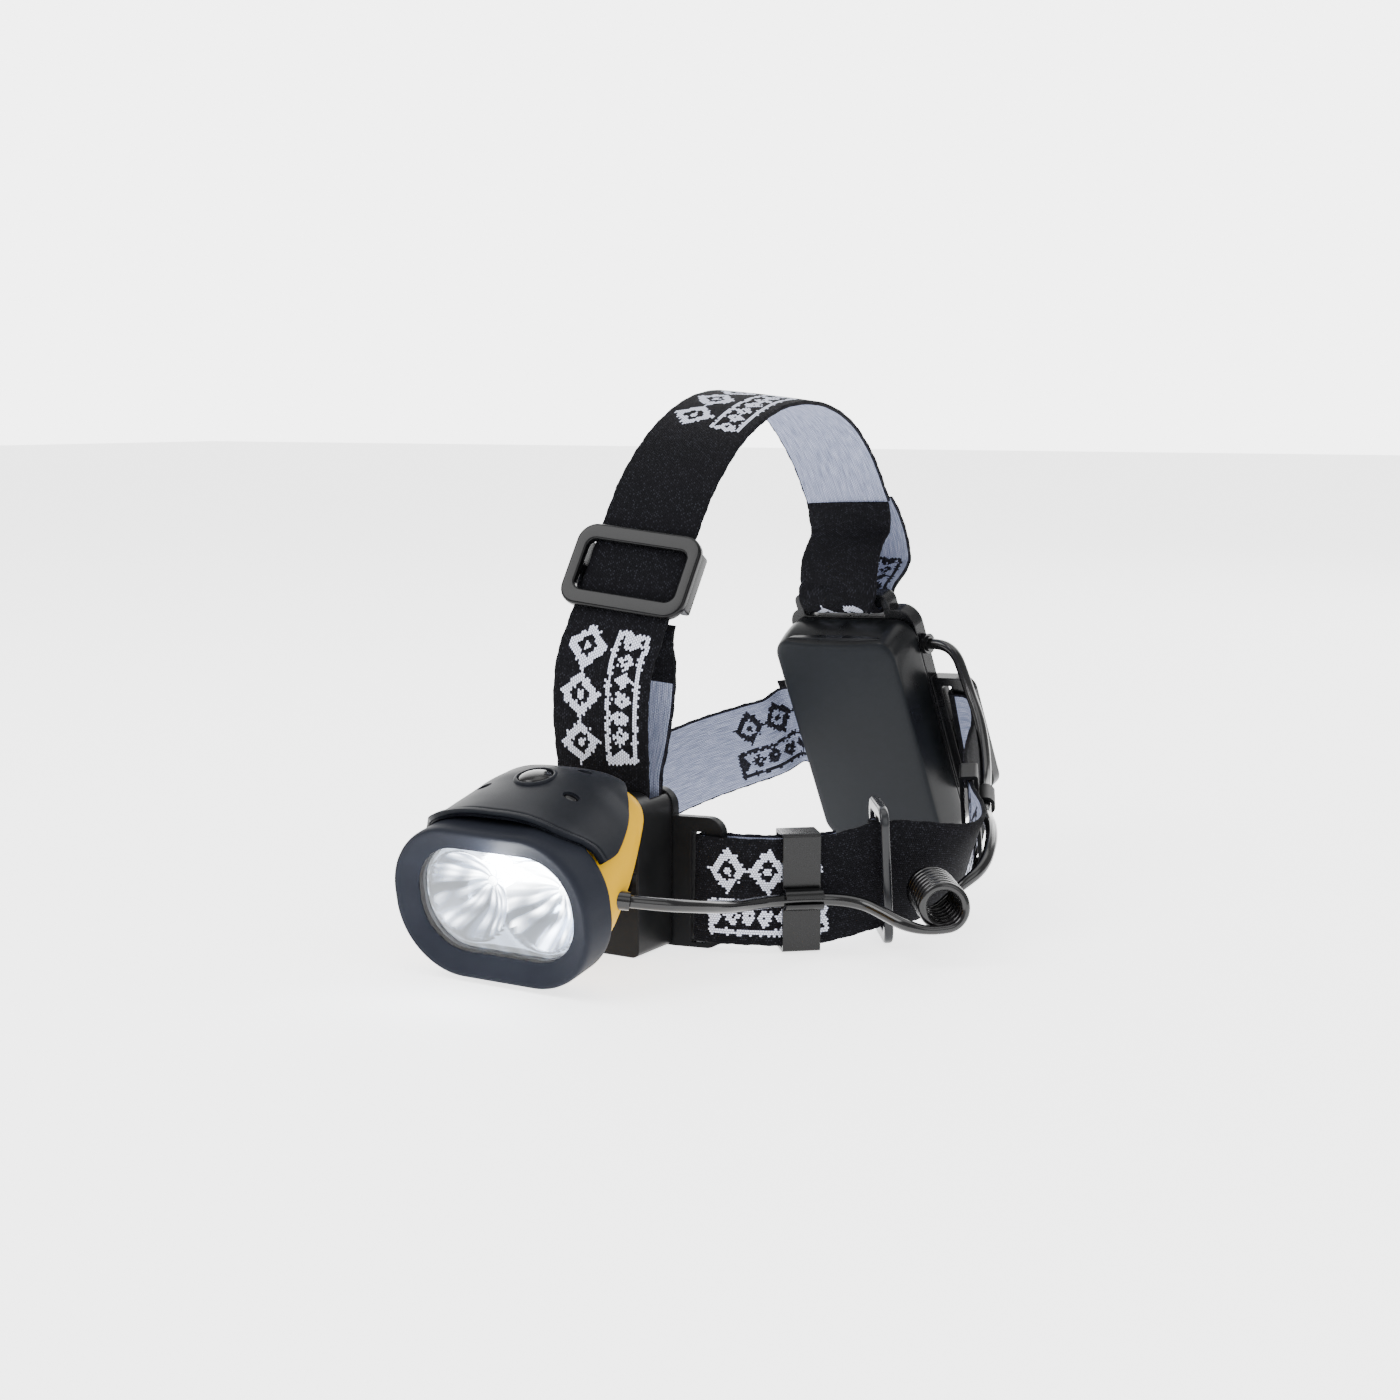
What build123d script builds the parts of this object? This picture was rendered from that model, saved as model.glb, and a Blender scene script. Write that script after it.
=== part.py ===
from build123d import *
import os
import math

# LED head lamp: tilting lamp on a forehead bracket, 30 mm elastic straps, rear battery pack,
# round cord with a short curly section.  Millimetres, +Z up, the lamp faces -Y,
# +X is the wearer's left.  The lamp stands on a surface at Z = 0.

# ---------------------------------------------------------------- driving dimensions
STRAP_W = 30.0            # webbing width
STRAP_T = 1.3             # webbing thickness
CORD_D = 3.5              # cord diameter
COIL_D = 14.4             # outer diameter of the curly section
COIL_L = 25.0             # length of the curly section
BEZEL_W, BEZEL_H, BEZEL_L = 61.4, 42.0, 12.0
LENS_W, LENS_H = 49.2, 29.4
LAMP_LEAN = 10.4          # the lamp's nose-down angle as it stands, degrees
LAMP_O = (0.0, -65.3, 21.25)    # centre of the bezel's front plane
HINGE_Y, HINGE_Z = -21.0, 21.0  # tilt axis, along X
BRACKET_HW = 16.5         # bracket half width
BRACKET_Y0, BRACKET_Y1 = -19.0, -1.7
BRACKET_H = 44.5
PLATE_H = 37.0
PLATE_T = 3.0
PLATE_HW = 31.0
PACK_YAW, PACK_LEAN, PACK_ROLL = 8.3, 21.5, 3.3
PACK_O = (-10.86, 145.4, 1.24)    # lower left corner of the pack's inner face
PACK_W, PACK_H, PACK_D = 50.0, 78.8, 13.0
RING_W, RING_L, RING_T = 39.0, 25.0, 2.6   # tri-glide slider
CELL_D, CELL_L = 14.2, 50.5
SHIFT = (-13.9, -46.0, 0.0)    # moves the design frame so that the box is centred on the origin

os.makedirs("parts", exist_ok=True)
NODES = {}


def put(name, shape):
    if isinstance(shape, (list, ShapeList)):
        shape = Compound(children=list(shape))
    NODES[name] = shape


def V(*a):
    return Vector(*a)


def hull_face(points):
    return make_face(Polyline(*points, close=True))


# ---------------------------------------------------------------- ribbons
def catmull(p, n):
    """Centripetal-free Catmull-Rom through the stations, n steps a span."""
    out = []
    m = len(p)
    for i in range(m - 1):
        p0 = p[i - 1] if i > 0 else [2 * a - b for a, b in zip(p[0], p[1])]
        p1, p2 = p[i], p[i + 1]
        p3 = p[i + 2] if i + 2 < m else [2 * a - b for a, b in zip(p[-1], p[-2])]
        for k in range(n):
            t = k / n
            out.append([0.5 * (2 * b + (c - a) * t + (2 * a - 5 * b + 4 * c - d) * t * t
                               + (3 * b - a - 3 * c + d) * t ** 3)
                        for a, b, c, d in zip(p0, p1, p2, p3)])
    out.append(list(p[-1]))
    return out


def sections(stations, width=STRAP_W, thick=STRAP_T, n=2):
    """Cross-sections of a band through stations of (x, y, z, ax, ay, az): centre and across direction."""
    q = catmull(stations, n)
    secs = []
    for i, s in enumerate(q):
        a, b = q[max(i - 1, 0)], q[min(i + 1, len(q) - 1)]
        t = V(b[0] - a[0], b[1] - a[1], b[2] - a[2]).normalized()
        c = V(s[0], s[1], s[2])
        w = V(s[3], s[4], s[5])
        w = (w - t * w.dot(t)).normalized()
        m = t.cross(w).normalized()
        h, e = width / 2, thick / 2
        secs.append(hull_face([c - w * h - m * e, c + w * h - m * e, c + w * h + m * e, c - w * h + m * e]))
    return secs


def ribbon(stations, n=2):
    return loft(sections(stations, n=n), ruled=True)


def strap(stations, names, cuts, n=1):
    """One band cut into spans that meet face to face; cuts are station numbers."""
    secs = sections(stations, n=n)
    for name, i, j in zip(names, cuts[:-1], cuts[1:]):
        put(name, loft(secs[i * n:j * n + 1], ruled=True))


def rrect(w, h, r):
    return RectangleRounded(w, h, r)


# ---------------------------------------------------------------- lamp head (local frame)
# local x = X, local y = distance behind the bezel's front plane, local z = up
lamp_loc = Location(LAMP_O, (LAMP_LEAN, 0, 0))


def oval(w, h, r, y0, y1, zc=0.0):
    sk = Plane.XZ.offset(-y0) * (Pos(0, zc) * rrect(w, h, r))
    return extrude(sk, -(y1 - y0))


def to_lamp(s):
    return lamp_loc * s


bezel = oval(BEZEL_W, BEZEL_H, 19.4, 0, BEZEL_L)
front_edges = bezel.edges().filter_by_position(Axis.Y, -0.01, 0.01)
bezel = fillet(front_edges, 2.6)
bezel = bezel - oval(LENS_W - 1.2, LENS_H - 1.2, 12.9, -1, 3.4) - oval(53.0, 33.6, 15.4, 3.3, 13)
bezel = bezel - oval(57.2, 37.8, 17.3, 8.6, 13)
put("bezel", to_lamp(bezel))
put("lens", to_lamp(oval(52.6, 33.2, 15.2, 3.4, 5.0)))
put("lens_seal", to_lamp(oval(52.4, 33.0, 15.1, 5.1, 6.2) - oval(48.6, 29.2, 13.2, 5.0, 6.3)))


def cup(x, z, r0, r1, y0, y1):
    return Pos(x, (y0 + y1) / 2, z) * Rot(90, 0, 0) * Cone(r1, r0, y1 - y0)


refl = oval(52.2, 32.8, 15.0, 6.3, 7.7) + oval(48.4, 27.4, 12.6, 7.6, 13.6) + oval(40.0, 21.0, 8.0, 13.5, 19.5, 2.2)
for cx in (-11.4, 11.4):
    refl -= cup(cx, -0.4, 12.7, 7.0, 6.2, 14.0)
    refl -= cup(cx, -0.4, 7.2, 3.6, 13.8, 19.6)
refl -= cup(0, 8.0, 5.4, 2.9, 6.2, 19.6)
SCREWS = ((0, -5.4), (-17.4, 7.4), (17.4, 7.4))
for sx, sz in SCREWS:
    refl -= Pos(sx, 17.9, sz) * Rot(90, 0, 0) * Cylinder(0.95, 3.4)
put("reflector", to_lamp(refl))
board = oval(40.0, 19.0, 7.0, 20.0, 21.6, 2.2)
for sx, sz in SCREWS:
    board -= Pos(sx, 20.8, sz) * Rot(90, 0, 0) * Cylinder(1.15, 3)
put("led_board", to_lamp(board))
leds = []
for cx, cz, s in ((-11.4, -0.4, 4.0), (11.4, -0.4, 4.0), (0, 8.0, 3.2)):
    leds.append(Pos(cx, 19.2, cz) * Box(s, 1.4, s) + Pos(cx, 18.5, cz) * Sphere(s * 0.36))
put("led_emitters", [to_lamp(s) for s in leds])
scr = []
for sx, sz in SCREWS:
    scr.append(Pos(sx, 19.75, sz) * Rot(90, 0, 0) * Cylinder(0.9, 3.9)
               + Pos(sx, 22.2, sz) * Rot(90, 0, 0) * Cylinder(1.8, 1.1))
put("board_screws", [to_lamp(s) for s in scr])

# lamp body: yellow shell
BODY_PROFILE = [(8.8, -16.4), (15.5, -16.0), (20, -13.2), (27.5, -6.2), (36.0, 0.6), (40.6, 8.5),
                (41.6, 15.5), (40.4, 21.0), (36.5, 24.6), (30, 25.4), (12.5, 22.0), (12.5, 18.2), (8.8, 18.2)]
BODY_INNER = [(8.0, -14.3), (14.8, -14.0), (18.8, -11.6), (26.0, -4.9), (34.2, 1.6), (38.5, 9.0),
              (39.4, 15.3), (38.4, 20.0), (35.5, 22.5), (30, 23.2), (14.5, 20.1), (14.5, 16.2), (8.0, 16.2)]


def prof(points, hw):
    f = Plane.YZ * make_face(Polyline(*points, close=True))
    return extrude(f, hw, both=True)


outline_o = oval(56.8, 44.4, 17.5, 0, 60, 3.4)
outline_i = oval(52.6, 40.0, 15.4, 0, 60, 3.4)
body_outer = prof(BODY_PROFILE, 40) & outline_o
body_inner = prof(BODY_INNER, 40) & outline_i
body = body_outer - body_inner
# spigot that the bezel grips
body = body - oval(80, 80, 10, 8.0, 12.5) + (oval(56.9, 37.4, 17.1, 8.8, 14.4) - oval(53.4, 33.9, 15.3, 8.0, 15))
# hinge knuckle between the bracket ears
H_B = (HINGE_Y - LAMP_O[1]) * math.cos(math.radians(LAMP_LEAN)) + (HINGE_Z - LAMP_O[2]) * math.sin(math.radians(LAMP_LEAN))
H_U = -(HINGE_Y - LAMP_O[1]) * math.sin(math.radians(LAMP_LEAN)) + (HINGE_Z - LAMP_O[2]) * math.cos(math.radians(LAMP_LEAN))
knuckle = Pos(0, H_B, H_U) * Rot(0, 90, 0) * Cylinder(4.4, 12.0)
web = extrude(Plane.YZ * make_face(Polyline((H_B, H_U + 4.4), (33.0, 0.2), (26.2, -5.6), (H_B, H_U - 4.4), close=True)), 6.0, both=True)
body = body + (web - body_inner) + knuckle - Pos(0, H_B, H_U) * Rot(0, 90, 0) * Cylinder(2.06, 40)
# recess behind, clear of the bracket ears
for sx in (-1, 1):
    body -= Pos(sx * 9.1, H_B, H_U) * Rot(0, 90, 0) * Cylinder(6.2, 6.0)
# top opening for the switch and side bore for the cord
SW_B, SW_U = 27.4, 25.0
body -= Pos(0, SW_B, 22.5) * Box(12.4, 12.4, 12)
CORD_B, CORD_U = 19.8, -1.6
EXIT_LOC = Plane(origin=(26.4, CORD_B, CORD_U), z_dir=(.84, .50, -.22)).location   # the cord leaves sideways and a little back
body -= EXIT_LOC * Pos(0, 0, 1.5) * Cylinder(2.53, 7.4)
put("lamp_body", to_lamp(body))

COVER_PROFILE = [(7.2, 19.5), (6.6, 24.2), (14, 25.4), (24, 26.8), (33, 28.2), (37.6, 27.7), (40.6, 25.8), (42.0, 22.0),
                 (41.2, 19.4), (36, 16.0), (28, 13.8), (20, 12.8), (13.4, 12.9), (12.8, 19.5)]
cover = prof(COVER_PROFILE, 40) & oval(60.2, 48.6, 19.2, 0, 60, 4.0)
cover_core = prof([(12.4, -5), (12.4, 22.2), (30, 25.5), (36.6, 24.75), (40.55, 21.1), (41.75, 15.5), (40, 5)], 40) & oval(57.0, 44.6, 17.6, 0, 60, 3.4)
cover = cover - cover_core
# front lip sweeps back towards its corners, and clears the bezel
for sx in (-1, 1):
    cover -= extrude(Plane.XY.offset(-2) * make_face(Polyline((sx * 11, 5.5), (sx * 32, 5.5), (sx * 32, 13.4), (sx * 25, 12.9), (sx * 18, 9.0), close=True)), 40)
cover -= oval(BEZEL_W + 0.6, BEZEL_H + 0.6, 19.6, -1, 12.5)
# button bore with a raised rim, dimples
cover -= Pos(0, SW_B, 25) * Cylinder(5.35, 12)
for sx in (-1, 1):
    cover -= Pos(sx * 14, 23.0, 26.6) * Rot(4, sx * 8, 0) * Cylinder(2.2, 2.0)
    cover -= Pos(sx * 9.5, 36.6, 28.2) * Rot(0, 0, 0) * Cylinder(2.0, 1.6)
put("top_cover", to_lamp(cover))
btn = Pos(0, SW_B, 26.0) * Cylinder(5.25, 2.6) + (Pos(0, SW_B, 20.6) * Sphere(8.4) & Pos(0, SW_B, 28.2) * Box(10.4, 10.4, 2.2) & Pos(0, SW_B, 28) * Cylinder(5.25, 8))
put("power_button", to_lamp(btn + Pos(0, SW_B, 24.2) * Cylinder(1.4, 1.8)))
put("tact_switch", to_lamp(Pos(0, SW_B, 19.9) * Box(6, 6, 3.6) + Pos(0, SW_B, 21.75) * Cylinder(1.6, 0.4)))
put("switch_board", to_lamp(Pos(0, SW_B, 17.4) * Box(18, 12, 1.2)))
gl = EXIT_LOC * (Cylinder(2.5, 7.6) + Pos(0, 0, -2.9) * Cylinder(3.2, 1.4))
put("lamp_gland", to_lamp(gl))

# ---------------------------------------------------------------- forehead bracket
br = Pos(0, (BRACKET_Y0 + BRACKET_Y1) / 2, BRACKET_H / 2) * Box(2 * BRACKET_HW, BRACKET_Y1 - BRACKET_Y0, BRACKET_H)
br = fillet(br.edges().filter_by(Axis.Y).filter_by_position(Axis.Z, BRACKET_H - 0.1, BRACKET_H + 0.1), 5.0)
br = fillet(br.edges().filter_by(Axis.Y).filter_by_position(Axis.Z, -0.1, 0.1), 2.0)
br -= Pos(0, -9.3, 17.6) * Box(28, 15.4, 29.6)               # hollow, open at the back
STRAP_X0 = -1.0
BAR_Y, BAR_Z = -6.3, 39.6
br -= Pos(-0.5, -6.4, 40.2) * Box(30.9, 9.1, 14.4)           # strap pocket in the top
br += Pos(-0.5, BAR_Y, BAR_Z) * Rot(0, 90, 0) * Cylinder(2.2, 31.5)
for sx in (-1, 1):
    ear = Pos(sx * 9.1, (HINGE_Y - 18.6) / 2, HINGE_Z) * Box(4.6, HINGE_Y * -1 - 18.6 + 0.01, 9.6) + Pos(sx * 9.1, HINGE_Y, HINGE_Z) * Rot(0, 90, 0) * Cylinder(4.8, 4.6)
    br += ear
br -= Pos(0, HINGE_Y, HINGE_Z) * Rot(0, 90, 0) * Cylinder(2.02, 40)
br -= Pos(0, HINGE_Y, HINGE_Z) * Rot(0, 90, 0) * Cylinder(5.0, 13.6)     # room for the knuckle
for sx in (-1, 1):
    br -= Pos(sx * 13.6, HINGE_Y, HINGE_Z) * Rot(0, 90, 0) * Cylinder(3.7, 4.4)
BSCR = ((-12.6, 5.2), (12.6, 5.2), (-12.6, 29.8), (12.6, 29.8))
for x, z in BSCR:
    br += Pos(x, -9.0, z) * Rot(90, 0, 0) * Cylinder(2.6, 14.4)
    br -= Pos(x, -6.4, z) * Rot(90, 0, 0) * Cylinder(1.3, 10)
put("tilt_bracket", br)
put("hinge_pin", Pos(0, HINGE_Y, HINGE_Z) * Rot(0, 90, 0) * Cylinder(2.0, 23.4)
    + Pos(12.4, HINGE_Y, HINGE_Z) * Rot(0, 90, 0) * Cylinder(3.1, 1.6)
    + Pos(-12.2, HINGE_Y, HINGE_Z) * Rot(0, 90, 0) * Cylinder(2.8, 1.2))
put("hinge_washers", [Pos(s * 6.39, HINGE_Y, HINGE_Z) * Rot(0, 90, 0) * (Cylinder(4.0, 0.6) - Cylinder(2.06, 2)) for s in (-1, 1)])

# base plate: flat middle, wings angled back, a slot in each wing
pf = Polyline((-PLATE_HW, 1.3), (-17, -1.6), (17, -1.6), (PLATE_HW, 1.3), (PLATE_HW, 1.3 + PLATE_T), (17, -1.6 + PLATE_T), (-17, -1.6 + PLATE_T), (-PLATE_HW, 1.3 + PLATE_T), close=True)
plate = extrude(make_face(pf), PLATE_H + 7.4)
wing_mask = extrude(Plane.XZ.offset(-12) * (Pos(0, PLATE_H / 2) * rrect(2 * PLATE_HW, PLATE_H, 4.6)), 24)
tab_mask = extrude(Plane.XZ.offset(-12) * (Pos(0, 22.2) * rrect(34.0, 44.4, 5.2)), 24)
plate = plate & (wing_mask + tab_mask)
for sx in (-1, 1):
    plate -= Pos(sx * 24.2, 2, 17.2) * Box(3.9, 12, 31.4)
for x, z in BSCR:
    plate -= Pos(x, 0, z) * Rot(90, 0, 0) * Cylinder(1.6, 10)
    plate -= Pos(x, 1.4, z) * Rot(90, 0, 0) * Cylinder(2.9, 2.6)
put("base_plate", plate)
put("bracket_screws", [Pos(x, -4.6, z) * Rot(90, 0, 0) * Cylinder(1.28, 8.6) + Pos(x, 0.75, z) * Rot(90, 0, 0) * Cylinder(2.6, 1.2) for x, z in BSCR])
pad = extrude(Plane.XZ.offset(-1.45) * (Pos(0, 18.5) * rrect(33, 33, 6)), -4.0)
put("forehead_pad", Pos(0, 0, 0) * pad)

# ---------------------------------------------------------------- straps
TOP = [(-0.75, -9.7, 40.6, 1, 0, .0), (-0.95, -9.8, 50, 1, .02, .0), (-1.4, -10.3, 65, 1, .08, -.03), (-0.6, -9.6, 78.5, 1, .10, -.06),
       (0.65, -5.6, 88.4, 1, .10, -.09), (1.5, 2.9, 103.1, 1, .08, -.10), (2.35, 11.4, 117.8, 1, .08, -.11), (2.6, 21, 130, 1, .08, -.12),
       (2.8, 37, 142.5, 1, .08, -.12), (3.1, 58, 150.8, 1, .08, -.12), (3.5, 80, 151.8, 1, .06, -.10), (3.9, 100, 145.7, 1, .04, -.03),
       (4.3, 116, 133.5, 1, 0, .06), (4.8, 127.5, 118.5, 1, -.04, .14)]
strap(TOP, ("top_strap_front", "top_strap_slide", "top_strap_crown_front", "top_strap_crown", "top_strap_crown_rear"), (0, 4, 6, 8, 10, 13), n=2)
# tail that comes back up from the bracket bar to the slider
u0 = BAR_Y
TAIL = [(-0.7, u0 - 3.4, BAR_Z - .4, 1, 0, 0), (-0.7, u0 - 2.4, BAR_Z - 2.6, 1, 0, 0), (-0.7, u0, BAR_Z - 3.5, 1, 0, 0),
        (-0.7, u0 + 2.4, BAR_Z - 2.6, 1, 0, 0), (-0.7, u0 + 3.4, BAR_Z - .2, 1, 0, 0), (-0.9, -2.8, 47.6, 1, .02, .0), (-1.2, 0.2, 55.0, 1, .04, -.01), (-1.4, 2.6, 64.0, 1, .08, -.03),
        (-0.8, 3.0, 73.0, 1, .10, -.05), (0.0, 1.8, 80.5, 1, .10, -.06), (0.7, -0.6, 86.6, 1, .10, -.09), (1.0, 0.5, 91.0, 1, .1, -.09)]
put("top_strap_tail", ribbon(TAIL))


def local(o, yaw, lean, roll):
    s, q, r = math.radians(yaw), math.radians(lean), math.radians(roll)
    ax = V(math.cos(s), -math.sin(s), 0)
    n = V(-math.sin(s), -math.cos(s), 0)
    up = n * math.sin(q) + V(0, 0, math.cos(q))
    a2 = ax * math.cos(r) + up * math.sin(r)
    dep = V(0, 0, 0) - (n * math.cos(q) - V(0, 0, math.sin(q)))
    # local x = a2, local y = depth away from the head, local z = up the pack
    return Plane(origin=o, x_dir=a2, z_dir=a2.cross(dep)).location, a2, a2.cross(dep), dep


pack_loc, PAX, PUP, PDEP = local(PACK_O, PACK_YAW, PACK_LEAN, PACK_ROLL)


def P(u, h, d):
    v = V(*PACK_O) + PAX * u + PUP * h + PDEP * d
    return (v.X, v.Y, v.Z)


def t3(v):
    return (v.X, v.Y, v.Z)


def to_pack(s):
    return pack_loc * s


LOOPX = t3(PAX)
LOOP_FRONT = [(4.9, 128.3, 115.6, 1, -.04, .14), (4.7, 128.6, 108.5, 1, -.05, .12), (4.5, 123.6, 102.2, 1, -.08, .1), (4.5, 121.3, 95.5, 1, -.1, .1),
              (4.9, 121.2, 90.6, *LOOPX), P(23.1, 87.2, 11.0) + LOOPX, P(23.1, 83.4, 11.4) + LOOPX, P(23.1, 81.4, 13.2) + LOOPX]
LOOP_REAR = [P(23.1, 80.9, 17.3) + LOOPX, P(23.1, 81.8, 20.5) + LOOPX, P(23.1, 85.0, 24.0) + LOOPX,
             (5.2, 143.8, 96.5, 1, -.08, .1), (5.0, 142.6, 104, 1, -.07, .12), (4.9, 136.8, 112.2, 1, -.05, .14), (4.85, 131.0, 117.6, 1, -.04, .14)]
strap(LOOP_FRONT + LOOP_REAR, ("top_strap_loop_front", "top_strap_loop_rear"), (0, 7, 14), n=2)

UP = (0, 0, 1)
WUP = (-.05, -.36, .93)


def mixv(t):
    return tuple(a * (1 - t) + b * t for a, b in zip(UP, WUP))


LEFT = [(23.8, -0.9, 17.3, *UP), (27.5, -1.2, 17.2, *UP), (32.5, 0.0, 17.1, *UP), (38.5, 2.6, 17.0, *UP), (45, 6.4, 16.8, *UP), (50.5, 10.6, 16.8, *UP), (56, 15.8, 17.4, *UP),
        (61.4, 22.4, 18.8, *UP), (66.6, 30.0, 20.3, *UP), (71.6, 37.6, 19.7, .10, -.05, .99), (75.2, 45.2, 19.0, .27, -.10, .95), (77.4, 53.4, 18.8, .38, -.12, .91), (77.4, 62.0, 19.4, .38, -.12, .91),
        (74.9, 71.2, 20.8, .28, -.14, .94), (70.8, 80.6, 22.7, .15, -.20, .95), (66.2, 91.0, 25.7, .05, -.28, .95), (61.6, 103.0, 29.8, *WUP), (57.8, 114.5, 34.2, *WUP), (54.6, 124.6, 38.0, *WUP),
        (P(63.0, 36.6, 12.4) + WUP), (P(56.8, 37.3, 12.9) + WUP)]
LWRAP = [P(55.2, 37.5, 14.4) + WUP, P(55.0, 37.6, 17.4) + WUP, P(56.3, 37.6, 19.4) + WUP, P(58.6, 37.4, 19.8) + WUP, P(61.0, 37.2, 19.7) + WUP, P(63.4, 36.9, 19.4) + WUP]
strap(LEFT + LWRAP, ("left_strap_front", "left_strap_slide", "left_strap_side", "left_strap_rear", "left_strap_wrap"), (0, 6, 9, 14, 20, 26))
LTAIL = [(23.75, -0.15, 17.3, *UP), (23.7, 2.8, 17.3, *UP), (24.6, 5.0, 17.3, *UP), (27.0, 5.6, 17.3, *UP), (32.0, 6.2, 17.2, *UP), (38.6, 8.2, 17.2, *UP), (44.2, 11.6, 17.1, *UP),
         (49.6, 15.7, 17.1, *UP), (53.9, 20.0, 17.5, *UP), (56.7, 23.5, 18.1, *UP)]
put("left_strap_tail", ribbon(LTAIL, n=1))
RIGHT = [(-23.8, -0.9, 17.3, *UP), (-27.5, -1.2, 17.3, *UP), (-32.5, 0.2, 17.3, *UP), (-38.5, 4.6, 17.3, *UP), (-44.5, 13.0, 17.4, *UP), (-49.5, 27.0, 17.6, *UP), (-53.4, 45.0, 18.2, *UP),
         (-55.4, 64.0, 19.6, *mixv(.1)), (-55.2, 84.0, 22.0, *mixv(.25)), (-52.0, 104.0, 25.6, *mixv(.45)), (-45.6, 121.0, 29.8, *mixv(.65)), (-36.6, 134.0, 33.6, *mixv(.85)),
         (-30.4, 140.4, 36.0, *WUP), (P(-12.4, 37.2, 12.4) + WUP), (P(-6.8, 37.4, 12.9) + WUP)]
RWRAP = [P(-5.2, 37.5, 14.4) + WUP, P(-5.0, 37.6, 17.4) + WUP, P(-6.3, 37.6, 19.4) + WUP, P(-9.0, 37.4, 19.8) + WUP, P(-13.0, 37.0, 19.5) + WUP, P(-17.0, 36.6, 18.6) + WUP]
strap(RIGHT + RWRAP, ("right_strap_front", "right_strap_side", "right_strap_rear", "right_strap_wrap"), (0, 5, 9, 14, 20))
RTAIL = [(-23.75, -0.15, 17.3, *UP), (-23.7, 2.8, 17.3, *UP), (-24.6, 5.0, 17.3, *UP), (-27.0, 5.6, 17.3, *UP), (-32.0, 5.9, 17.3, *UP), (-38.0, 8.6, 17.3, *UP)]
put("right_strap_tail", ribbon(RTAIL, n=1))

# ---------------------------------------------------------------- sliders
def ring(centre_bar_offset):
    r = extrude(rrect(RING_W, RING_L, 5.0), RING_T / 2, both=True)
    r -= extrude(rrect(31.6, RING_L - 9.0, 2.4), RING_T, both=True)
    return r


def frame_loc(o, xd, zd):
    return Plane(origin=o, x_dir=xd, z_dir=zd).location


TS_C = V(1.5, 2.9, 103.1)
TS_T = V(1.7, 17.0, 29.4).normalized()
TS_A = V(1, .08, -.10)
TS_A = (TS_A - TS_T * TS_A.dot(TS_T)).normalized()
TS_N = TS_A.cross(TS_T).normalized()            # outward, away from the head
if TS_N.Y > 0:
    TS_N = TS_N * -1
ts_plane = Plane(origin=TS_C, x_dir=TS_A, z_dir=TS_N)
# ring lies on the strap; its centre bar runs behind the strap
off = STRAP_T / 2 + RING_T / 2 + 0.25
r1 = Pos(0, 0, off) * ring(0)
for sx in (-1, 1):
    r1 += Pos(sx * 17.4, 0, -0.6) * Box(3.0, 5.6, 2 * off + 0.9)
r1 += Pos(0, 0, -off - 0.55) * Rot(0, 90, 0) * Cylinder(1.6, 36.6)
top_slider = ts_plane.location * r1
put("top_slider", top_slider)
SEWN = [(-15, 0, 0)]
ts_end = Rot(0, 90, 0) * (Cylinder(2.85, 29.6) - Cylinder(1.66, 40))
ts_end = ts_end - Pos(0, 0, 5 + 1.9) * Box(40, 10, 10)
ts_end = ts_end + Pos(0, -3.2, -2.2) * Box(29.6, 5.4, 1.25)
put("top_slider_strap_end", ts_plane.location * (Pos(0, 0, -off - 0.55) * ts_end))

SS_C = V(66.6, 30.0, 20.3)
SS_T = V(10.2, 15.2, 0.9).normalized()
SS_N = V(SS_T.Y, -SS_T.X, 0)                    # outward
SS_U = (V(0, 0, 1) - SS_T * SS_T.Z).normalized()
SS_YAW = math.radians(-22.0)                        # the glide stands turned against the band's run
SS_Z = V(SS_T.X * math.cos(SS_YAW) - SS_T.Y * math.sin(SS_YAW), SS_T.X * math.sin(SS_YAW) + SS_T.Y * math.cos(SS_YAW), SS_T.Z)
SS_X = (V(0, 0, 1) - SS_Z * SS_Z.Z).normalized()
ss_plane = Plane(origin=SS_C, x_dir=SS_X, z_dir=SS_Z)
# ring stands square to the strap: local x = Z, local y = along +-normal
r2 = extrude(rrect(RING_W, RING_L, 5.0), RING_T / 2, both=True)
WIN = (RING_L - 3 * 3.2) / 2
sy = 1.0 if (ss_plane.y_dir.dot(SS_N) > 0) else -1.0
for k in (-1, 1):
    r2 -= Pos(0, k * (1.6 + WIN / 2), 0) * Box(31.8, WIN, 10)
ss_off = sy * (-(1.6 + WIN / 2))                # the strap runs through the outer window
put("side_slider", ss_plane.location * (Pos(0, ss_off, 0) * r2))
ss_bar = Rot(0, 90, 0) * (Cylinder(3.45, 29.4) - Cylinder(2.15, 40))
ss_bar = ss_bar - Pos(0, 0, 4) * Box(40, 20, 8) + Pos(0, -sy * 2.8, 0.9) * Box(29.4, 1.2, 2.2)
put("side_slider_strap_end", ss_plane.location * (Pos(0, ss_off, 0) * ss_bar))

# ---------------------------------------------------------------- cable clips
def clip(centre, tangent, up, inner):
    """C-shaped clip round one or two strap layers with a cord channel outside."""
    pl = Plane(origin=centre, x_dir=tangent, z_dir=up)   # local x along strap, local y = inward or outward, local z = up
    return pl


C1_C = V(50.5, 10.6, 17.1)
C1_CH = -1.3               # height of the cord channel on the clip
C1_T = V(11.0, 9.4, 0).normalized()
c1p = Plane(origin=C1_C, x_dir=C1_T, z_dir=(0, 0, 1))    # y_dir = inward (towards the head)
cl = Pos(0, 2.6, 0) * Box(10.6, 10.2, 33.2)
cl = fillet(cl.edges().filter_by(Axis.X), 1.0)
cl -= Pos(0, 2.6, 0) * Box(12, 7.8, 31.2)
cl -= Pos(0, 7.5, -6) * Box(12, 4, 12)
chan = Pos(0, -4.6, C1_CH) * Rot(0, 90, 0) * Cylinder(3.0, 10.6) - Pos(0, -4.6, C1_CH) * Rot(0, 90, 0) * Cylinder(1.96, 14) - Pos(0, -7.5, C1_CH) * Box(14, 3.0, 1.6)
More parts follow.
